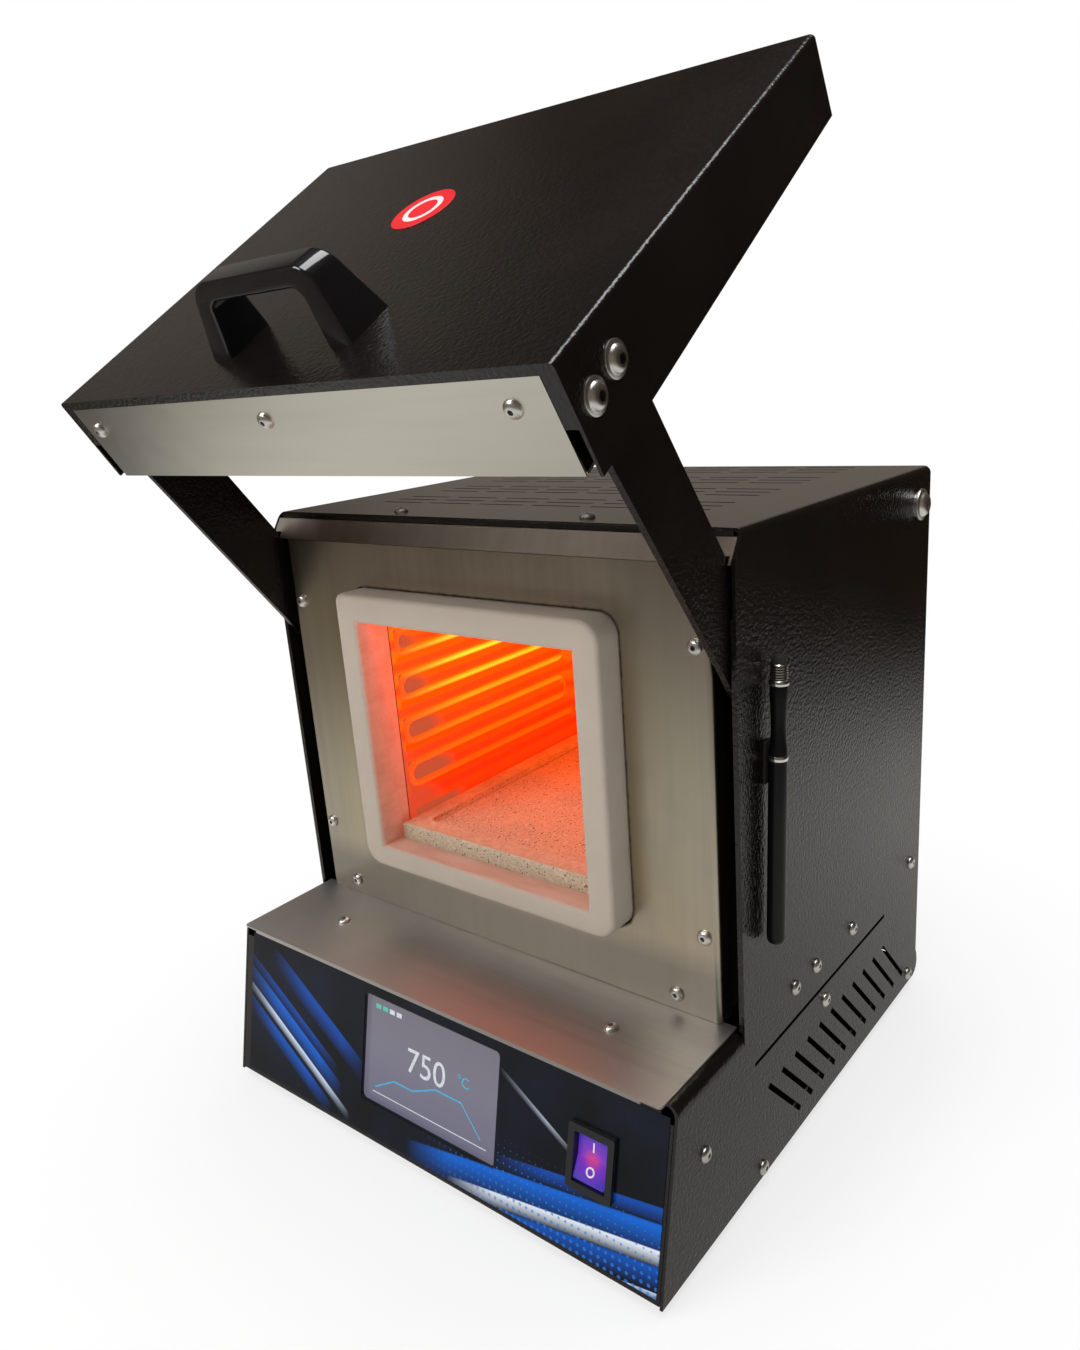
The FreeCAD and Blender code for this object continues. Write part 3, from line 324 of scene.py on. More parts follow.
def weatherAndShadePlate(inputs, point):
    # The plate has yellowed beside the mouth, where it gets hottest, and is smeared in patches; the smear's colour
    # also paints shade below the mouth.
    x, z = splitUp(point)[::2]
    side = abs(x - atX(mouth["x"]))
    far = (side - mouth["half"] * millimetre).most(
        abs(z - atZ(plateWearAndShade["tintMiddle"])) - plateWearAndShade["tintRise"] * millimetre)
    patch = noise(point, 13.0, 4.0, 0.6)
    yellow = far.onto(0.0, plateWearAndShade["tintReach"] * millimetre, 0.8, 0.0) * patch.onto(0.35, 0.62, 0.35, 1.0)
    tone = blend(yellow, currentTone(inputs), plateWearAndShade["tint"])
    # Painted shade below the mouth, and the plate darker towards the upper right
    paintedShadeUnderMouth = z.onto(0.12, 0.134, 0.8, 0.0)
    upperRight = z.onto(0.16, 0.3, 0.0, 0.5) * x.onto(0.08, 0.1)
    smearAndShade = patch.onto(0.3, 0.5, 0.35, 0.0).most(paintedShadeUnderMouth).most(upperRight)
    tone = blend(smearAndShade, tone, plateWearAndShade["smearAndShade"])
    # A thin dark line follows the rounded outline of the mouth: soot with a painted shadow of the seam
    beyond = addNode(point.tree, "ShaderNodeCombineXYZ", {
        "X": (side - (mouth["half"] - plateWearAndShade["corner"]) * millimetre).most(0.0),
        "Z": (abs(z - atZ(mouthMiddle)) - (mouthRise - plateWearAndShade["corner"]) * millimetre).most(0.0)})
    outline = vectorMath("LENGTH", Value(beyond.outputs["Vector"])) - plateWearAndShade["corner"] * millimetre
    wander = noise(point, 260.0, 3.0) * (plateWearAndShade["seamShadowAndSootWander"] * millimetre)
    seamShadowAndSoot = (outline - wander).onto(0.0, plateWearAndShade["seamShadowAndSootWidth"] * millimetre, 0.85, 0.0)
    put(blend(seamShadowAndSoot, tone, plateWearAndShade["seamShadowAndSoot"]), inputs["Base Color"])


def paintReflectionAlong(inputs, point, start, stop, amount, color):
    # Painted reflection: a sheet's tone gets darker or lighter from its left end on.
    shaky = splitUp(point)[0] + (noise(point, 24.0, 3.0) - 0.5) * 0.08
    put(blend(shaky.onto(start, stop, amount, 0.0), currentTone(inputs), color), inputs["Base Color"])


steels = {name: makeBrushed(name, **look) for name, look in steelLooks.items()}
weatherAndShadePlate(*steels["plateSteel"])
# Painted reflection: the door strip darker towards its left end, the shelf lighter
paintReflectionAlong(*steels["panSteel"], -0.14, -0.06, 0.8, (0.38, 0.37, 0.36))
paintReflectionAlong(*steels["shelfSteel"], -0.14, 0.06, 1.0, (0.74, 0.71, 0.69))

plainLooks = {
    "zincSheet": {"color": (0.26, 0.265, 0.27), "roughness": 0.5, "grain": 300.0, "depth": 0.00003, "metallic": 1.0},
    "screwSteel": {"color": (0.82, 0.8, 0.77), "roughness": 0.34, "grain": 2500.0, "depth": 0.00001,
                   "metallic": 1.0},
    # Painted shade: the floor of each screw's socket
    "socketDark": {"color": (0.03, 0.03, 0.03), "roughness": 0.5},
    "fibreWhite": {"color": (0.83, 0.81, 0.77), "roughness": 0.95, "grain": 500.0, "depth": 0.0003},
    "rubberBlack": {"color": (0.02, 0.02, 0.02), "roughness": 0.75},
    "glossBlack": {"color": (0.007, 0.007, 0.008), "roughness": 0.1, "grain": 160.0, "depth": 0.00003,
                   "specular": 0.75},
    "housingBlack": {"color": (0.01, 0.01, 0.012), "roughness": 0.35, "grain": 1500.0, "depth": 0.00002},
    "lacquerBlack": {"color": (0.004, 0.004, 0.005), "roughness": 0.3, "grain": 120.0, "depth": 0.00001,
                     "specular": 0.25},
    "chrome": {"color": (0.8, 0.8, 0.8), "roughness": 0.1, "grain": 1500.0, "depth": 0.000004, "metallic": 1.0,
               "spread": 0.05},
    "boardGreen": {"color": (0.02, 0.16, 0.07), "roughness": 0.35, "grain": 260.0, "depth": 0.00006},
    "steatite": {"color": (0.82, 0.8, 0.75), "roughness": 0.6},
    "heatSink": {"color": (0.55, 0.55, 0.56), "roughness": 0.35, "depth": 0.00003, "metallic": 1.0},
    "labelRed": {"color": (0.75, 0.012, 0.02), "roughness": 0.3, "grain": 1200.0, "depth": 0.00001},
    "labelPale": {"color": (0.85, 0.72, 0.72), "roughness": 0.3, "grain": 1200.0, "depth": 0.00001}}


def makePlain(name, color, roughness, grain=900.0, depth=0.00004, metallic=0.0, spread=0.12, specular=0.5):
    # A moulded, cast or plated surface with a faint grain and a little tone.
    material, inputs, point = newLook(name, color, roughness, metallic, specular)
    peel = useGroup(peelGroup, point, {"Scale": grain})
    put(ramp(peel["Patch"], [(0.35, times(color, 1 - spread)), (0.65, times(color, 1 + spread))]),
        inputs["Base Color"])
    put(peel["Patch"].onto(0.3, 0.7, roughness * 0.88, roughness * 1.1), inputs["Roughness"])
    bump(inputs, peel["Height"], depth)
    return material


plain = {name: makePlain(name, **look) for name, look in plainLooks.items()}
screwMaterials = [plain["screwSteel"], plain["socketDark"]]

# The room of the chamber with its grooves, in millimetres
heat = {"half": 79.5, "low": 140.5, "high": 272.5, "front": 85.0, "wallStrength": 1.1, "wireStrength": 1.35}


def runPhase(z):
    # Counts the runs of the element upwards: whole at the middle of each run.
    return (z - atZ(coil["first"])) / (coil["pitch"] * millimetre)


castLook = {"color": (0.54, 0.465, 0.385), "stain": (0.5, 0.36, 0.26), "rubbed": (0.42, 0.33, 0.25),
            "singed": (0.3, 0.2, 0.13), "singeWidth": 0.0018, "depth": 0.00025, "litHalf": 0.0724,
            "litLow": 0.1456, "litHigh": 0.2772}


def makeMouthCeramic():
    material, inputs, point = newLook("mouthCeramic", castLook["color"], 0.9, specular=0.25)
    x, y, z = splitUp(point)
    pits = cells(point, 420.0) < 0.09
    tone = ramp(noise(point, 22.0, 4.0, 0.6), [(0.3, times(castLook["color"], 0.93)), (0.7, castLook["color"])])
    tone = blend(pits * 0.35, tone, castLook["stain"])
    bump(inputs, noise(point, 1400.0, 4.0, 0.65) - pits * 0.8, castLook["depth"], 0.6)
    # Rubbed streaks, and a browned edge round the opening
    drag = noise(vectorMath("MULTIPLY", point, (0.25, 1.0, 1.6)), 60.0, 5.0, 0.7)
    tone = blend(drag.onto(0.5, 0.7, 0.0, 0.12), tone, castLook["rubbed"])
    side = abs(x - atX(mouth["x"]))
    rim = (side - mouth["openHalf"] * millimetre).most(abs(z - atZ(openMiddle)) - openRise * millimetre)
    singe = rim.onto(0.0, castLook["singeWidth"], 0.35, 0.0) * drag.onto(0.4, 0.6)
    put(blend(singe, tone, castLook["singed"]), inputs["Base Color"])
    # The faces of the opening take the chamber's light
    inside = (side < castLook["litHalf"]) * (z < castLook["litHigh"]) * (z > castLook["litLow"])
    level = inside * (z.onto(0.146, 0.272, 0.25, 1.0) * (y.onto(atY(mouth["front"]), -0.056) + 0.35))
    emit(inputs, ramp(level, [(0.0, (0, 0, 0)), (0.3, (0.16, 0.02, 0.005)), (0.7, (0.42, 0.035, 0.012)),
                              (1.0, (0.72, 0.05, 0.01))]))
    return material


trayLook = {"pale": (0.68, 0.58, 0.43), "brown": (0.5, 0.4, 0.28), "grain": (0.14, 0.085, 0.04),
            "line": (0.36, 0.25, 0.17), "lineIn": 0.013, "strength": 0.5}


def makeTrayCeramic():
    # Beige with brown grains, and lit from the chamber further in.
    material, inputs, point = newLook("trayCeramic", trayLook["pale"], 0.9, specular=0.2)
    trayLow, trayHigh = (Vector(corner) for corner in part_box("chamber_tray"))
    x, y, z = splitUp(point)
    fine = noise(point, 330.0, 5.0, 0.7)
    cloud = noise(point, 34.0, 5.0, 0.6)
    grains = cells(point, 620.0) < fine.onto(0.44, 0.62, 0.05, 0.5)
    shown = z.onto(trayHigh.z - 0.0007, trayHigh.z - 0.0002, 0.8, 0.22)   # fewer grains show on the worn top
    tone = blend(grains * shown, ramp(fine, [(0.35, trayLook["brown"]), (0.65, trayLook["pale"])]),
                 trayLook["grain"])
    # A shallow pressed groove runs round the top, inside the edge; its shade is painted as a darker line
    fromSide = (trayHigh.x - trayLow.x) / 2 - abs(x - (trayLow.x + trayHigh.x) / 2)
    edge = fromSide.least(y - trayLow.y) + (cloud - 0.5) * 0.003
    line = abs(edge - trayLook["lineIn"]).onto(0.0004, 0.0016, 1.0, 0.0)
    put(blend(line * 0.55, tone, trayLook["line"]), inputs["Base Color"])
    glow = ramp(y.onto(-0.063, 0.05), [(0.0, (0, 0, 0)), (0.02, (0.2, 0.03, 0.01)), (0.4, (0.5, 0.06, 0.012)),
                                       (1.0, (0.95, 0.09, 0.0))])
    # The painted groove shade also dims the painted glow along the line
    pressed = edge.onto(trayLook["lineIn"] - 0.0005, trayLook["lineIn"] + 0.0005, 1.0, 0.72)
    lit = cloud.onto(0.35, 0.65, 0.35, 1.0) * (1.0 - line * 0.5) * pressed
    emit(inputs, blend(lit, (0, 0, 0), glow), trayLook["strength"])
    bump(inputs, fine, 0.0003)
    return material


def makeWallGlow():
    # Red-hot boards, dark on their outer faces, with painted light from the wire on the board beside each run.
    material, inputs, point = newLook("wallGlow", (0.16, 0.06, 0.035), 0.95, specular=0.1)
    x, y, z = splitUp(point)
    patch = noise(point, 70.0, 5.0, 0.65)
    wobble = patch - 0.5
    rise = z.onto(atZ(heat["low"]), atZ(heat["high"]))
    phase = runPhase(z)
    # Painted light: the board is lighter beside each run
    near = abs((phase + 0.5).fraction() - 0.5).onto(0.16, 0.42, 1.0, 0.0)
    body = ramp(rise + wobble * 0.35, [
        (0.0, (0.85, 0.012, 0.0)), (0.2, (0.95, 0.022, 0.0)), (0.45, (1.0, 0.04, 0.0)), (0.8, (1.0, 0.055, 0.0)),
        (1.0, (1.0, 0.045, 0.0))])
    lit = blend(near * (rise * 0.9), body, (1.0, 0.17, 0.0))
    # The ribs inside the front bends stay dusty brown at the mouth, and more of the wall does low down
    rib = (phase * 0.5).fraction() < 0.5
    depth = y - atY(heat["front"])
    rough = depth + wobble * 0.016
    ribCool = (rough - rise.onto(0.0, 1.0, 0.042, 0.008)).onto(-0.002, 0.009, 0.85, 0.0)
    lowCool = (rough - rise.onto(0.0, 0.55, 0.03, -0.02)).onto(0.0, 0.012, 0.55, 0.0)
    cool = (ribCool * depth.onto(0.003, 0.006) * rib).most(lowCool)
    inside = (abs(x - atX(mouth["x"])) < heat["half"] * millimetre) * (z > atZ(heat["low"]))
    inside = inside * (z < atZ(heat["high"])) * (y > atY(heat["front"]))
    emit(inputs, blend(inside, (0, 0, 0), blend(cool, lit, (0.3, 0.07, 0.03))), heat["wallStrength"])
    bump(inputs, patch, 0.0008)
    return material


def makeHotWire():
    # Each run has a painted highlight along its middle, dims towards the mouth and is cold past the rear board.
    material, inputs, point = newLook("hotWire", (0.3, 0.1, 0.03), 0.7)
    y, z = splitUp(point)[1:]
    wave = addNode(point.tree, "ShaderNodeTexWave", {"Vector": point, "Scale": 160.0, "Distortion": 0.6,
                                                     "Detail": 1.0}, bands_direction="Y")
    turns = Value(wave.outputs["Fac"])
    rise = z.onto(0.165, 0.272)
    glow = ramp(rise + (turns - 0.5) * 0.12, [
        (0.0, (0.9, 0.05, 0.0)), (0.25, (1.0, 0.12, 0.0)), (0.45, (1.0, 0.27, 0.005)), (0.62, (1.0, 0.6, 0.02)),
        (0.8, (1.0, 0.66, 0.04)), (0.92, (1.0, 0.4, 0.01)), (1.0, (1.0, 0.16, 0.0))])
    # Painted highlight along the middle of each run
    paintedHighlight = abs((runPhase(z) + 0.5).fraction() - 0.53).onto(0.03, 0.13, 1.0, 0.0)
    banded = blend(paintedHighlight, blend(rise, (0.95, 0.04, 0.0), (1.0, 0.14, 0.0)), glow)
    color = blend(y.onto(-0.05, 0.004), (0.85, 0.06, 0.004), banded)
    emit(inputs, blend(y.onto(0.106, 0.112), color, (0, 0, 0)), heat["wireStrength"])
    bump(inputs, turns, 0.0004)
    return material


# Straight bands: slope of the centre line, its height at x = 0, half width, colour, and first and last x
printBands = [
    (-0.52, 0.0, 0.0028, (0.0, 0.06, 0.36), -0.15, -0.066),
    (-0.52, -0.0085, 0.0045, (0.0, 0.12, 0.62), -0.15, -0.062),
    (-0.52, -0.0165, 0.0022, (0.62, 0.74, 0.92), -0.15, -0.055),
    (-0.52, -0.026, 0.004, (0.0, 0.09, 0.5), -0.15, -0.07),
    (-0.52, 0.018, 0.005, (0.0, 0.07, 0.42), -0.125, -0.044),
    (-0.52, 0.104, 0.0013, (0.4, 0.45, 0.55), 0.05, 0.1),
    (0.16, 0.0245, 0.003, (0.0, 0.07, 0.42), 0.05, 0.2),
    (0.16, 0.0145, 0.0056, (0.0, 0.13, 0.66), -0.01, 0.2),
    (0.16, -0.0035, 0.0042, (0.0, 0.08, 0.46), 0.03, 0.2),
    (0.16, 0.0052, 0.003, (0.78, 0.86, 0.96), 0.02, 0.2),
    (0.16, -0.0125, 0.0013, (0.45, 0.6, 0.85), 0.06, 0.2)]
printDots = {"perMetre": 260.0, "size": 0.24, "color": (0.02, 0.2, 0.7)}


def makePanelPrint():
    # A generic print: straight bands with soft lower edges and small dots on near black.
    material, inputs, point = newLook("panelPrint", (0.004, 0.006, 0.012), 0.26, specular=0.22)
    put(0.06, inputs["Coat Weight"])
    put(0.1, inputs["Coat Roughness"])
    x, z = splitUp(point)[::2]
    tone = ramp(noise(point, 28.0, 4.0), [(0.35, (0.001, 0.0015, 0.004)), (0.7, (0.003, 0.007, 0.022))])
    for slope, cross, half, tint, start, stop in printBands:
        away = z - x * slope - cross
        across = away.onto(half * 0.85, half, 1.0, 0.0) * away.onto(-half * 1.6, half * 0.6)
        along = x.onto(start, start + 0.03) * x.onto(stop - 0.02, stop, 1.0, 0.0)
        tone = blend(across * along, tone, tint)
    # Round dots on a square grid that get smaller upwards
    grid = vectorMath("MULTIPLY", point, (printDots["perMetre"], 0.0, printDots["perMetre"]))
    centred = vectorMath("SUBTRACT", vectorMath("FRACTION", grid), (0.5, 0.0, 0.5))
    dot = vectorMath("LENGTH", centred) < z.onto(0.012, 0.05, printDots["size"], 0.0)
    put(blend(dot * x.onto(0.0, 0.06, 0.0, 0.7), tone, printDots["color"]), inputs["Base Color"])
    bump(inputs, noise(point, 1800.0), 0.00002)
    return material


def makeScreenGlass():
    material, inputs, point = newLook("screenLit", (0.02, 0.02, 0.03), 0.12)
    height = splitUp(point)[2].onto(0.02, 0.095)
    emit(inputs, ramp(height, [(0.0, (0.12, 0.12, 0.18)), (0.5, (0.165, 0.155, 0.2)), (1.0, (0.14, 0.13, 0.15))]))
    bump(inputs, noise(point, 4000.0), 0.00001)
    return material


def makeLit(name, color):
    material, inputs, point = newLook(name, (0.02, 0.02, 0.02), 0.3)
    emit(inputs, ramp(cells(point, 900.0), [(0.1, color), (0.6, times(color, 0.75))]))
    return material


rockerCentre = (0.10655, -0.12495, 0.05449)


def makeRockerLit():
    # A lit rocker: violet-blue body with a red glow at its middle and a fine moulded net.
    material, inputs, point = newLook("rockerLit", (0.05, 0.01, 0.12), 0.16)
    far = vectorMath("LENGTH", vectorMath("SUBTRACT", point, rockerCentre))
    glow = ramp(far * 70.0, [
        (0.0, (0.95, 0.12, 0.1)), (0.18, (0.7, 0.05, 0.16)), (0.42, (0.2, 0.03, 0.5)), (0.8, (0.04, 0.03, 0.42)),
        (1.0, (0.02, 0.02, 0.3))])
    checker = addNode(point.tree, "ShaderNodeTexChecker", {"Vector": point, "Scale": 1600.0})
    net = Value(checker.outputs["Fac"])
    emit(inputs, blend(net * 0.3, glow, (0.02, 0.01, 0.08)), 0.9)
    bump(inputs, net, 0.00003)
    return material


mouthCeramic = makeMouthCeramic()
trayCeramic = makeTrayCeramic()
wallGlow = makeWallGlow()
hotWire = makeHotWire()
panelPrint = makePanelPrint()
screenLit = makeScreenGlass()
rockerLit = makeRockerLit()
markWhite = makeLit("markWhite", (0.85, 0.85, 0.9))
screenMark = makeLit("screenMark", (0.75, 0.78, 0.85))
screenTeal = makeLit("screenTeal", (0.06, 0.45, 0.75))
screenGreen = makeLit("screenGreen", (0.1, 0.6, 0.45))
print("materials ready")

nodeFinishes = {
    "blackCoat": "outer_casing rear_panel door_shell arm_left arm_right",
    "panelCoat": "control_panel base_pan",
    "panelPrint": "panel_film",
    "plateSteel": "front_plate",
    "browSteel": "front_brow",
    "shelfSteel": "shelf_plate",
    "panSteel": "door_pan",
    "zincSheet": "muffle_housing muffle_rails thermocouple door_magnet",
    "mouthCeramic": "mouth_frame",
    "wallGlow": "chamber_left chamber_right chamber_roof chamber_floor chamber_back",
    "hotWire": "element_left element_right",
    "steatite": "element_terminals",
    "fibreWhite": "insulation_top insulation_bottom insulation_sides insulation_rear door_insulation",
    "screenLit": "display_screen",
    "boardGreen": "display_board control_board",
    "housingBlack": "rocker_housing terminal_block mains_inlet fuse_holder door_sensor",
    "rockerLit": "rocker_paddle",
    "heatSink": "power_relay",
    "rubberBlack": "feet stylus_magnet stylus_tip",
    "screwSteel": "pivot_bolts pivot_nuts pivot_spacers stop_pins top_screws front_screws shelf_screws side_screws "
                  "handle_screws arm_screws arm_nuts strip_screws",
    "lacquerBlack": "stylus_barrel",
    "chrome": "stylus_trim",
    "trayCeramic": "chamber_tray",
    "glossBlack": "door_handle",
    "labelRed": "door_label"}
for finish, nodeNames in nodeFinishes.items():
    material = bpy.data.materials[finish]
    for nodeName in nodeNames.split():
        slots = nodes[nodeName].material_slots
        for slot in slots:
            slot.material = material
        if not len(slots):
            nodes[nodeName].data.materials.append(material)


def asMesh(bm, name):
    mesh = bpy.data.meshes.new(name)
    bm.to_mesh(mesh)
    bm.free()
    return mesh


def finishPiece(name, bm, body, materials, replaced=(), smooth=True, mergeAt=0.00001):
    # Turns a bmesh drawn in metres into a piece of the object.
    bmesh.ops.remove_doubles(bm, verts=bm.verts, dist=mergeAt)
    bmesh.ops.recalc_face_normals(bm, faces=bm.faces)
    mesh = asMesh(bm, name)
    piece = bpy.data.objects.new(name, mesh)
    bpy.context.scene.collection.objects.link(piece)
    for item in materials:
        mesh.materials.append(item)
    if smooth:
        mesh.shade_smooth()
        mesh.set_sharp_from_angle(angle=math.radians(38))
    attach(piece, body)
    if replaced:
        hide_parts(*replaced)


def outlineFace(bm, points):
    return bm.faces.new([bm.verts.new(point) for point in points])


def newVerts(made):
    return [item for item in made if isinstance(item, bmesh.types.BMVert)]


def pullOut(bm, faces, vec):
    # Extrudes faces and moves their copies.
    made = bmesh.ops.extrude_face_region(bm, geom=faces)["geom"]
    bmesh.ops.translate(bm, verts=newVerts(made), vec=vec)
    bmesh.ops.recalc_face_normals(bm, faces=bm.faces)


def soften(bm, geom, offset, segments, affect="EDGES"):
    bmesh.ops.bevel(bm, geom=geom, offset=offset, segments=segments, profile=0.5, affect=affect, material=-1)


def sharpEdges(bm, angle):
    return [e for e in bm.edges if len(e.link_faces) == 2 and e.calc_face_angle() > angle]


def spunShape(profile, steps=32):
    # Turns an (r, z) outline about Z in a bmesh of its own.
    bm = bmesh.new()
    verts = [bm.verts.new((r, 0.0, z)) for r, z in profile]
    edges = [bm.edges.new(pair) for pair in zip(verts, verts[1:])]
    bmesh.ops.spin(bm, geom=verts + edges, cent=(0, 0, 0), axis=(0, 0, 1), dvec=(0, 0, 0),
                   angle=math.tau, steps=steps, use_merge=True)
    bmesh.ops.remove_doubles(bm, verts=bm.verts, dist=0.001)
    return bm


def stamp(bm, mesh, matrix):
    # Adds a copy of a small mesh at a place.
    placed = mesh.copy()
    placed.transform(matrix)
    bm.from_mesh(placed)
    bpy.data.meshes.remove(placed)


def facing(direction):
    return Vector((0, 0, 1)).rotation_difference(Vector(direction)).to_matrix().to_4x4()


def openRing(bm, z, radius):
    # The open edge loop of a spun shape at one height and radius.
    return [e for e in bm.edges if len(e.link_faces) == 1
            and all(abs(v.co.z - z) < 0.01 and abs(v.co.xy.length - radius) < 0.05 for v in e.verts)]


def socketHead(look, size=1.0):
    # A domed head with a hexagon socket, drawn in millimetres with its seat at z = 0.
    profile = [(r * size, z * size) for r, z in look["profile"]]
    bm = spunShape(profile, look["steps"])
    topR, topZ = profile[-1]
    hexVerts = bmesh.ops.create_circle(bm, cap_ends=False, segments=6, radius=look["socket"] * size,
                                       matrix=Matrix.Translation((0, 0, topZ)))["verts"]
    hexEdges = list({e for v in hexVerts for e in v.link_edges})
    bmesh.ops.bridge_loops(bm, edges=openRing(bm, topZ, topR) + hexEdges)
    walls = bmesh.ops.extrude_edge_only(bm, edges=hexEdges)["geom"]
    low = newVerts(walls)
    bmesh.ops.translate(bm, verts=low, vec=(0, 0, -look["depth"] * size))
    floor = [g for g in walls if isinstance(g, bmesh.types.BMEdge) and all(v in low for v in g.verts)]
    # The socket's floor takes the second material, a painted shade
    for face in bmesh.ops.contextual_create(bm, geom=floor)["faces"]:
        face.material_index = 1
    return asMesh(bm, "headStamp")


buttonLook = {"profile": [(3.8, 0.0), (3.85, 0.35), (3.65, 0.95), (3.1, 1.6), (2.4, 2.0), (1.75, 2.2)],
              "socket": 1.25, "depth": 1.3, "steps": 28, "turn": 37.0}
sideScrewPlaces = [(131.4, 87.2), (156.3, 86.4), (203.3, 84.5), (293.2, 85.3), (167.7, 59.6), (293.7, 6.9),
                   (39.8, 53.2), (94.3, 5.6)]
# Piece: body, place of the drawing, node, first turn, and the seats with the way that each faces
buttonScrews = {
    "sideScrewHeads": ("casing", bodyPlace, "side_screws", 1,
                       [((s * halfWidth, y, z), (s, 0, 0)) for s in (1, -1) for y, z in sideScrewPlaces]),
    "plateScrewHeads": ("casing", bodyPlace, "front_screws", 3,
                        [((s * x, 78.3, z), (0, -1, 0)) for s in (1, -1)
                         for x, z in ((130.4, 275.5), (130.4, 136.4), (114.1, 100.9))]),
    "topScrewHeads": ("casing", bodyPlace, "top_screws", 5,
                      [((s * 62.2, 99.6, 325.5), (0, 0, 1)) for s in (1, -1)]),
    "shelfScrewHeads": ("casing", bodyPlace, "shelf_screws", 2,
                        [((s * 95.2, 48.9, 92.0), (0, 0, 1)) for s in (1, -1)]),
    "stripScrewHeads": ("door", doorPlace, "strip_screws", 4,
                        [((x, y, 0.2), (0, 0, -1)) for x, y in ((-133.5, 16.3), (-4.3, 15.6), (126.0, 16.0))])}


def makeButtonScrews():
    head = socketHead(buttonLook)
    for name, (body, base, node, firstTurn, seats) in buttonScrews.items():
        bm = bmesh.new()
        for number, (place, aim) in enumerate(seats):
            spin = turned(buttonLook["turn"] * (number + firstTurn), "Z")
            stamp(bm, head, base @ Matrix.Translation(place) @ facing(aim) @ spin)
        finishPiece(name, bm, body, screwMaterials, [node])


# The flanged heads' sizes are in proportion to the thread's radius
flangeLook = {"socket": 0.68, "depth": 0.7, "steps": 40, "turn": 23.0,
              "profile": [(2.17, 0.0), (2.2, 0.13), (2.17, 0.27), (2.08, 0.34), (1.75, 0.37), (1.66, 0.44),
                          (1.6, 0.6), (1.42, 0.82), (1.18, 0.99), (0.95, 1.08), (0.84, 1.1)]}
# Piece: body, place of the drawing, node, thread's radius, its length, and the seats
flangeScrews = {
    "armScrewHeads": ("door", doorPlace, "arm_screws", 3.0, 11.0,
                      [((s * halfWidth, y, z), s) for z, y in ((27.7, 18.1), (11.4, 20.6)) for s in (1, -1)]),
    "pivotScrews": ("casing", bodyPlace, "pivot_bolts", 4.0, 14.2,
                    [((s * (halfWidth + 1.8), 288.0, 306.6), s) for s in (1, -1)])}


def makeFlangeScrews():
    for name, (body, base, node, shank, length, seats) in flangeScrews.items():
        head = socketHead(flangeLook, shank)
        bm = bmesh.new()
        for number, (place, side) in enumerate(seats):
            spin = turned(flangeLook["turn"] * (number + 1), "Z")
            where = base @ Matrix.Translation(place) @ facing((side, 0, 0)) @ spin
            stamp(bm, head, where)
            bmesh.ops.create_cone(bm, cap_ends=True, segments=24, radius1=shank, radius2=shank, depth=length,
                                  matrix=where @ Matrix.Translation((0, 0, -length / 2 + 0.2)))
        finishPiece(name, bm, body, screwMaterials, [node])


makeButtonScrews()
makeFlangeScrews()
print("screws ready")

handle = {"middle": -4.5, "foot": 44.2, "top": 35.8, "rise": 31.0, "gripFoot": 31.5, "gripTop": 28.7,
          "bar": 8.0, "footLow": 23.0, "footHigh": 49.5, "topLow": 29.0, "topHigh": 43.0, "cornerOut": 7.56,
          "cornerIn": 5.2, "soft": 1.4}


def makeHandle():
    bm = bmesh.new()
    top, under = -handle["rise"], -handle["rise"] + handle["bar"]
    outline = [(-handle["foot"], 0), (-handle["top"], top), (handle["top"], top), (handle["foot"], 0),
               (handle["gripFoot"], 0), (handle["gripTop"], under), (-handle["gripTop"], under),
               (-handle["gripFoot"], 0)]
    pullOut(bm, [outlineFace(bm, [(x + handle["middle"], y, 0.0) for x, y in outline])], (0, 0, 1))
    for v in bm.verts:   # the section narrows from the feet to the top
        lift = min(-v.co.y / handle["rise"], 1.0)
        low = handle["footLow"] + (handle["topLow"] - handle["footLow"]) * lift
        high = handle["footHigh"] + (handle["topHigh"] - handle["footHigh"]) * lift
        v.co.z = high if v.co.z > 0.5 else low
    bmesh.ops.recalc_face_normals(bm, faces=bm.faces)
    for level, radius, segments in ((top, handle["cornerOut"], 7), (under, handle["cornerIn"], 5)):
        across = [e for e in bm.edges if all(abs(v.co.y - level) < 0.01 for v in e.verts)
                  and abs(e.verts[0].co.x - e.verts[1].co.x) < 0.01]
        soften(bm, across, radius, segments)
    sharp = [e for e in sharpEdges(bm, 0.6) if not all(v.co.y > -0.01 for v in e.verts)]
    soften(bm, sharp, handle["soft"], 3)
    bmesh.ops.transform(bm, matrix=doorPlace, verts=bm.verts)
    finishPiece("doorHandle", bm, "door", [plain["glossBlack"]], ["door_handle"])


makeHandle()

# The stylus is drawn down from its tip
stylus = {"x": 155.6, "y": 105.9, "top": 268.5, "lean": 2.6, "length": 137.5, "steps": 40, "ridges": 6,
          "ridgePitch": 1.15, "grooveRadius": 3.62}


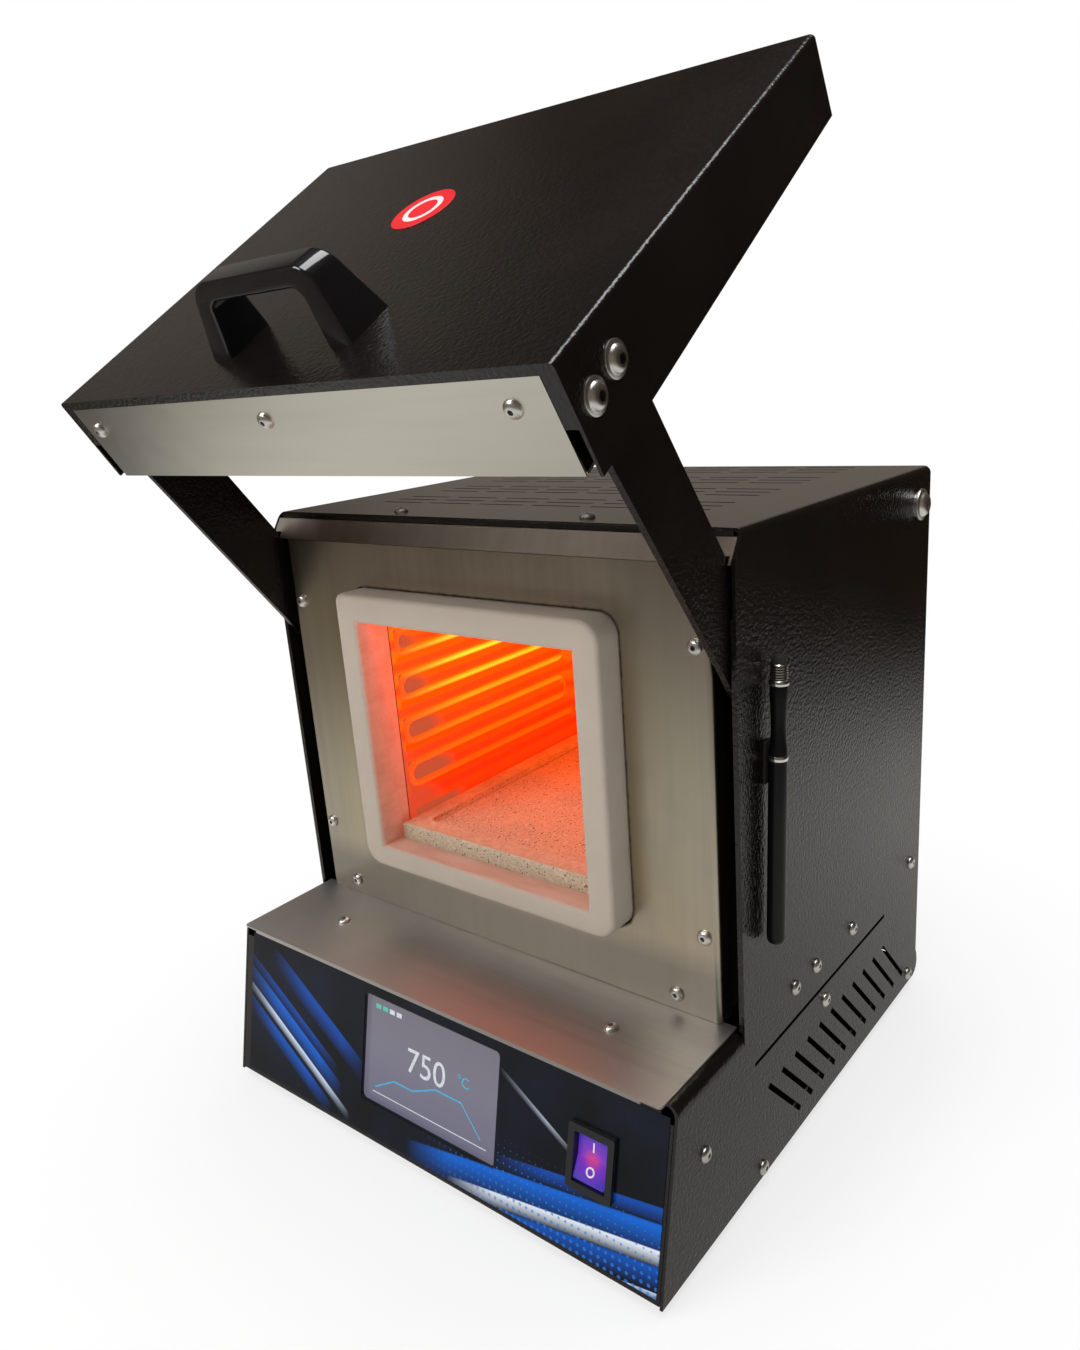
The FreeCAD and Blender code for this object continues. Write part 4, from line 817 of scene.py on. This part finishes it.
def makeStylus():
    end = -stylus["length"]
    place = toMetres(Matrix.Translation((stylus["x"], stylus["y"], stylus["top"])) @ turned(-stylus["lean"], "X"))
    tip = [(0.0, 0.0), (1.5, -0.25), (2.6, -1.0), (3.2, -2.1), (3.4, -3.3), (3.4, -4.3), (0.0, -4.4)]
    ferrule = [(0.0, -4.3), (3.6, -4.3)]
    for k in range(stylus["ridges"]):
        z = -4.6 - stylus["ridgePitch"] * k
        ferrule += [(3.98, z - 0.1), (3.98, z - 0.65), (3.45, z - 0.8), (3.45, z - 1.1)]
    ferrule += [(3.75, -11.5), (4.2, -11.7), (4.45, -12.1), (4.45, -13.6), (4.2, -14.0), (0.0, -14.0)]
    barrel = [(0.0, -14.0), (3.9, -14.0), (4.05, -16.0), (3.95, -20.0), (3.65, -26.0), (3.42, -31.0), (3.4, -35.0),
              (3.6, -39.0), (4.0, -42.3), (4.25, -44.2), (4.28, -45.9), (4.0, -46.0), (4.0, -48.2), (4.28, -48.3),
              (4.3, -60.0), (4.3, end + 3.4), (4.1, end + 1.6), (3.5, end + 0.5), (2.4, end), (0.0, end)]
    ring = [(4.0, -45.9), (4.3, -45.9), (4.45, -46.2), (4.45, -48.0), (4.3, -48.3), (4.0, -48.3), (4.0, -45.9)]
    lacquer = plain["lacquerBlack"]
    for name, outlines, materials, slotName, replaced in (
            ("stylusTip", [tip], [plain["rubberBlack"]], "stylus_rubber", "stylus_tip"),
            ("stylusTrim", [ferrule, ring], [plain["chrome"], lacquer], "stylus_chrome", "stylus_trim"),
            ("stylusBarrel", [barrel], [lacquer], "stylus_black", "stylus_barrel")):
        bm = bmesh.new()
        for outline in outlines:
            part = spunShape(outline, stylus["steps"])
            if outline is ferrule:   # dark grooves between the ridges
                for face in part.faces:
                    middle = face.calc_center_median()
                    inGroove = middle.xy.length < stylus["grooveRadius"] and -11.3 < middle.z < -5.0
                    face.material_index = int(inGroove)
            stamp(bm, asMesh(part, "turnedPart"), place)
        finishPiece(name, bm, "stylus", materials, [replaced])


makeStylus()


def makeMouthFrame():
    bm = bmesh.new()
    middle, front = mouth["x"], mouth["front"]
    half, openHalf = mouth["half"], mouth["openHalf"]
    outlineFace(bm, [(middle - half, front, mouth["low"]), (middle + half, front, mouth["low"]),
                     (middle + half, front, mouth["high"]), (middle - half, front, mouth["high"])])
    tight = [v for v in bm.verts if v.co.x < middle and v.co.z > mouth["high"] - 1]
    wide = [v for v in bm.verts if v not in tight]
    soften(bm, wide, mouth["corner"], 8, "VERTICES")
    soften(bm, tight, mouth["tight"], 8, "VERTICES")
    outer = list(bm.edges)
    bmesh.ops.delete(bm, geom=list(bm.faces), context="FACES_ONLY")
    verts = [bm.verts.new(place) for place in (
        (middle - openHalf, front, mouth["openLow"]), (middle + openHalf, front, mouth["openLow"]),
        (middle + openHalf, front, mouth["openHigh"]), (middle - openHalf, front, mouth["openHigh"]))]
    inner = [bm.edges.new((verts[k], verts[(k + 1) % 4])) for k in range(4)]
    bmesh.ops.bridge_loops(bm, edges=outer + inner)
    pullOut(bm, list(bm.faces), (0, mouth["back"] - front, 0))
    soften(bm, [e for e in sharpEdges(bm, 0.6) if all(abs(v.co.y - front) < 0.01 for v in e.verts)],
           mouth["soft"], 4)
    bmesh.ops.transform(bm, matrix=bodyPlace, verts=bm.verts)
    finishPiece("mouthCasting", bm, "casing", [mouthCeramic], ["mouth_frame"])


def makeElement(name, side, node):
    # One wire that runs to and fro up the wall and leaves at the rear.
    x = coil["middle"] + side * (coil["wallHalf"] + coil["sunk"])
    bend = coil["pitch"] / 2
    points = [(x, coil["end"], coil["first"])]
    for k in range(coil["runs"] - 1):
        atFront = k % 2 == 0
        y = coil["front"] + bend if atFront else coil["rear"] - bend
        out = -bend if atFront else bend
        z = coil["first"] + coil["pitch"] * k + bend
        for step in range(coil["steps"] + 1):
            turn = math.pi * step / coil["steps"] - math.pi / 2
            points.append((x, y + out * math.cos(turn), z + bend * math.sin(turn)))
    points.append((x, coil["end"], coil["first"] + coil["pitch"] * (coil["runs"] - 1)))
    curve = bpy.data.curves.new("runPath", "CURVE")
    curve.dimensions = "3D"
    spline = curve.splines.new("POLY")
    spline.points.add(len(points) - 1)
    for point, place in zip(spline.points, points):
        point.co = (*place, 1.0)
    curve.bevel_depth = coil["radius"]
    curve.bevel_resolution = 4
    curve.use_fill_caps = True
    bm = bmesh.new()
    stamp(bm, meshOfCurve(curve), bodyPlace)
    finishPiece(name, bm, "casing", [hotWire], [node])


def meshOfCurve(curve):
    holder = bpy.data.objects.new(curve.name, curve)
    mesh = bpy.data.meshes.new_from_object(holder)
    bpy.data.objects.remove(holder)
    return mesh


makeMouthFrame()
makeElement("elementRight", 1, "element_right")
makeElement("elementLeft", -1, "element_left")
print("mouth and elements ready")

label = {"x": -4.6, "z": 132.8, "radius": 16.4, "thick": 0.35, "soft": 0.1, "ringOut": 10.5, "ringIn": 7.6,
         "ringThick": 0.04}


def ringProfile(inner, outer, low, high):
    return [(inner, low), (inner, high), (outer, high), (outer, low), (inner, low)]


def makeLabel():
    place = doorPlace @ Matrix.Translation((label["x"], 0, label["z"])) @ turned(90.0, "X")
    radius, thick = label["radius"], label["thick"]
    disc = [(0.0, 0.0), (radius, 0.0), (radius, thick - 0.08), (radius - label["soft"], thick), (0.0, thick)]
    ring = ringProfile(label["ringIn"], label["ringOut"], thick, thick + label["ringThick"])
    for name, profile, steps, material, replaced in (
            ("roundLabel", disc, 72, plain["labelRed"], ["door_label"]),
            ("labelRing", ring, 64, plain["labelPale"], [])):
        bm = bmesh.new()
        stamp(bm, asMesh(spunShape(profile, steps), name), place)
        finishPiece(name, bm, "door", [material], replaced)


makeLabel()

rocker = {"x": 108.5, "v": 51.4, "depth": 3.2, "rest": 8.0, "half": 8.8, "tall": 11.2, "crest": 2.6, "end": 4.4,
          "markV": 5.6, "markProud": 0.12}


def makeRocker():
    half, tall, crest, end = rocker["half"], rocker["tall"], rocker["crest"], rocker["end"]
    place = panelPlace @ Matrix.Translation((rocker["x"], rocker["depth"], rocker["v"])) \
        @ turned(-rocker["rest"], "X")
    bm = bmesh.new()
    outline = [(-end, -tall), (-crest, 0.0), (-end, tall), (3.4, 10.0), (5.2, 0.0), (3.4, -10.0)]
    pullOut(bm, [outlineFace(bm, [(-half, y, z) for y, z in outline])], (2 * half, 0, 0))
    soften(bm, sharpEdges(bm, 0.5), 0.8, 3)
    middle = [e for e in bm.edges if all(abs(v.co.z) < 0.01 and v.co.y < 0 for v in e.verts)]
    soften(bm, middle, 2.0, 4)
    bmesh.ops.transform(bm, matrix=place, verts=bm.verts)
    finishPiece("rockerLens", bm, "rocker", [rockerLit], ["rocker_paddle"])
    # The line and the circle stand a hair proud of the two slopes
    slope = (end - crest) / tall
    y = -crest - rocker["markV"] * slope - rocker["markProud"]
    tilt = math.degrees(math.atan(slope))
    upper = place @ Matrix.Translation((0, y, rocker["markV"])) @ turned(90.0 + tilt, "X")
    lower = place @ Matrix.Translation((0, y, -rocker["markV"])) @ turned(90.0 - tilt, "X")
    bm = bmesh.new()
    bar = bmesh.ops.create_cube(bm, size=1.0)["verts"]
    bmesh.ops.scale(bm, vec=(0.75, 4.6, 0.14), verts=bar)
    bmesh.ops.transform(bm, matrix=upper, verts=bar)
    stamp(bm, asMesh(spunShape(ringProfile(1.55, 2.3, -0.07, 0.07), 36), "circleMark"), lower)
    finishPiece("rockerMarks", bm, "rocker", [markWhite])


makeRocker()

# What the display shows, in millimetres on the panel. The curve goes up, holds, goes up, holds and falls
display = {"middle": 3.65, "face": 2.24, "thick": 0.04, "number": "750", "unit": "°C", "line": 0.9, "steps": 4,
           "stepPitch": 5.2, "curve": [(-36.0, 30.0), (-22.0, 38.0), (-8.0, 38.0), (8.0, 45.0), (26.0, 45.0),
                                       (40.0, 31.0)]}
displayPlace = panelPlace @ Matrix.Translation((0, display["face"], 0))


def flatShape(name, corners, material):
    # A thin plate with the given outline, just in front of the display.
    bm = bmesh.new()
    pullOut(bm, [outlineFace(bm, [(x, 0.0, v) for x, v in corners])], (0, display["thick"], 0))
    bmesh.ops.transform(bm, matrix=displayPlace, verts=bm.verts)
    finishPiece(name, bm, "casing", [material], smooth=False, mergeAt=0.000001)


def textShape(name, words, size, x, v, material):
    curve = bpy.data.curves.new(name, "FONT")
    curve.body = words
    curve.size = size
    curve.extrude = display["thick"] / 2
    curve.align_x = "CENTER"
    bm = bmesh.new()
    stamp(bm, meshOfCurve(curve), displayPlace @ Matrix.Translation((x, 0, v)) @ turned(90.0, "X"))
    finishPiece(name, bm, "casing", [material], smooth=False, mergeAt=0.000001)


def rectangle(x0, v0, x1, v1):
    return [(x0, v0), (x1, v0), (x1, v1), (x0, v1)]


def makeDisplay():
    textShape("displayNumber", display["number"], 19.0, display["middle"] - 3.0, 48.0, screenMark)
    textShape("displayUnit", display["unit"], 8.0, display["middle"] + 23.0, 54.0, screenTeal)
    raised = [(x, v + display["line"]) for x, v in display["curve"]]
    for k in range(len(raised) - 1):
        flatShape("displayCurve%d" % k, [*display["curve"][k:k + 2], raised[k + 1], raised[k]], screenTeal)
    flatShape("displayBase", rectangle(-38.0, 27.4, 44.0, 27.9), screenMark)
    for k in range(display["steps"]):
        x = -38.0 + display["stepPitch"] * k
        flatShape("displayStep%d" % k, rectangle(x, 74.5, x + 3.8, 77.0), screenGreen if k < 2 else screenMark)


makeDisplay()
print("label, rocker and display ready")

# Lengths in metres from the object's middle
stageLook = {"floorSize": 9.0, "tableNear": 0.6, "tableFar": 1.0, "bench": (0.66, 0.65, 0.61),
             "benchShade": (0.42, 0.41, 0.39), "roomBehind": (0.03, 0.019, 0.012), "roomAhead": (0.15, 0.125, 0.1),
             "clearFrom": 0.2, "clearTo": 0.42, "shadow": 0.72}


def mixShader(factor, first, last):
    node = addNode(factor.tree, "ShaderNodeMixShader")
    for value, index in ((factor, 0), (first, 1), (last, 2)):
        put(value, node.inputs[index])
    return Value(node.outputs["Shader"])


def emission(color, tree):
    return Value(addNode(tree, "ShaderNodeEmission", {"Color": color, "Strength": 1.0}).outputs["Emission"])


def rayKind(tree):
    # Whether a ray is a mirrored one, and whether it looks straight at the backdrop.
    outputs = addNode(tree, "ShaderNodeLightPath").outputs
    return Value(outputs["Is Glossy Ray"]), Value(outputs["Is Camera Ray"]).most(
        Value(outputs["Is Transmission Ray"]))


def makeFloor():
    bm = bmesh.new()
    bmesh.ops.create_grid(bm, x_segments=1, y_segments=1, size=stageLook["floorSize"])
    mesh = asMesh(bm, "floor")
    floor = bpy.data.objects.new("floor", mesh)
    bpy.context.scene.collection.objects.link(floor)
    material, _, point = newLook("floorWhite", (0.92, 0.92, 0.92), 0.9, specular=0.0)
    mesh.materials.append(material)
    tree = material.node_tree
    mirrored, seen = rayKind(tree)
    distance = vectorMath("LENGTH", point)
    # The sheets mirror a pale bench top that ends in a dark room
    bench = blend(distance.onto(0.2, 0.45), stageLook["benchShade"], stageLook["bench"])
    room = blend(splitUp(point)[1].onto(0.1, -0.5), stageLook["roomBehind"], stageLook["roomAhead"])
    mirror = blend(distance.onto(stageLook["tableNear"], stageLook["tableFar"]), bench, room)
    surface = mixShader(mirrored, Value(tree.nodes["Principled BSDF"].outputs["BSDF"]), emission(mirror, tree))
    # The camera sees the shadow near the object and pure white further out
    clear = distance.onto(stageLook["clearFrom"], stageLook["clearTo"], stageLook["shadow"], 1.0)
    put(mixShader(seen * clear, surface, emission((1, 1, 1), tree)), tree.nodes["Material Output"].inputs["Surface"])


roomLook = {"paleWay": (-0.5, 0.86, 0.1), "paleTone": (0.3, 0.26, 0.22), "windowWay": (-0.82, 0.36, 0.44),
            "windowTone": (0.21, 0.184, 0.158)}


def makeWorld():
    world = bpy.data.worlds.new("studio")
    bpy.context.scene.world = world
    world.use_nodes = True
    tree = world.node_tree
    mirrored, seen = rayKind(tree)
    way = coords(tree, "Generated")
    y, z = splitUp(way)[1:]
    # What the object mirrors: a dim brown room with paler places behind it and to its left
    room = ramp(z, [(0.0, (0.03, 0.02, 0.013)), (0.35, (0.042, 0.029, 0.02)), (0.75, (0.042, 0.03, 0.022)),
                    (0.9, (0.12, 0.115, 0.11)), (1.0, (0.3, 0.29, 0.28))])
    pale = vectorMath("DOT_PRODUCT", way, roomLook["paleWay"]).onto(0.88, 0.97)
    room = blend(pale * z.onto(0.0, 0.1), room, roomLook["paleTone"])
    window = vectorMath("DOT_PRODUCT", way, roomLook["windowWay"]).onto(0.94, 0.99)
    room = blend(window, room, roomLook["windowTone"])
    room = blend(y.onto(0.1, -0.5) * z.onto(0.35, 0.62, 1.0, 0.0), room, stageLook["roomAhead"])
    # What lights it
    soft = ramp(z.onto(-0.2, 0.9), [(0.0, (0.5, 0.5, 0.5)), (0.35, (0.33, 0.32, 0.31)), (0.7, (0.4, 0.4, 0.4)),
                                    (1.0, (0.62, 0.62, 0.62))])
    background = tree.nodes["Background"]
    put(blend(seen, blend(mirrored, soft, room), (1, 1, 1)), background.inputs["Color"])
    put(1.0, background.inputs["Strength"])


lampLooks = {
    "keyLamp": {"place": (-0.7, -1.6, 1.6), "target": (0, 0, 0.2), "size": (0.9, 0.9), "power": 17.0},
    "ceilingLamp": {"place": (0.15, -0.1, 2.3), "target": (0.05, -0.1, 0.3), "size": (1.7, 0.8), "power": 26.0}}


def addLamp(name, look):
    lamp = bpy.data.lights.new(name, "AREA")
    lamp.shape = "RECTANGLE"
    lamp.size, lamp.size_y = look["size"]
    lamp.energy = look["power"]
    holder = bpy.data.objects.new(name, lamp)
    holder.location = look["place"]
    aim = Vector(look["target"]) - Vector(look["place"])
    holder.rotation_euler = aim.to_track_quat("-Z", "Y").to_euler()
    bpy.context.scene.collection.objects.link(holder)


cameraLook = {"place": (0.34743, -0.42785, 0.39700), "turn": (73.6510, 4.2377, 38.5388), "lens": 27.53,
              "sensor": 36.0, "near": 0.01}


def makeCamera():
    camera = bpy.data.cameras.new("camera")
    camera.lens = cameraLook["lens"]
    camera.sensor_width = cameraLook["sensor"]
    camera.clip_start = cameraLook["near"]
    holder = bpy.data.objects.new("camera", camera)
    holder.location = cameraLook["place"]
    holder.rotation_euler = [math.radians(angle) for angle in cameraLook["turn"]]
    bpy.context.scene.collection.objects.link(holder)
    bpy.context.scene.camera = holder


makeFloor()
makeWorld()
for lampName, lampLook in lampLooks.items():
    addLamp(lampName, lampLook)
makeCamera()
bpy.context.scene.view_settings.view_transform = "Standard"
print("stage ready")
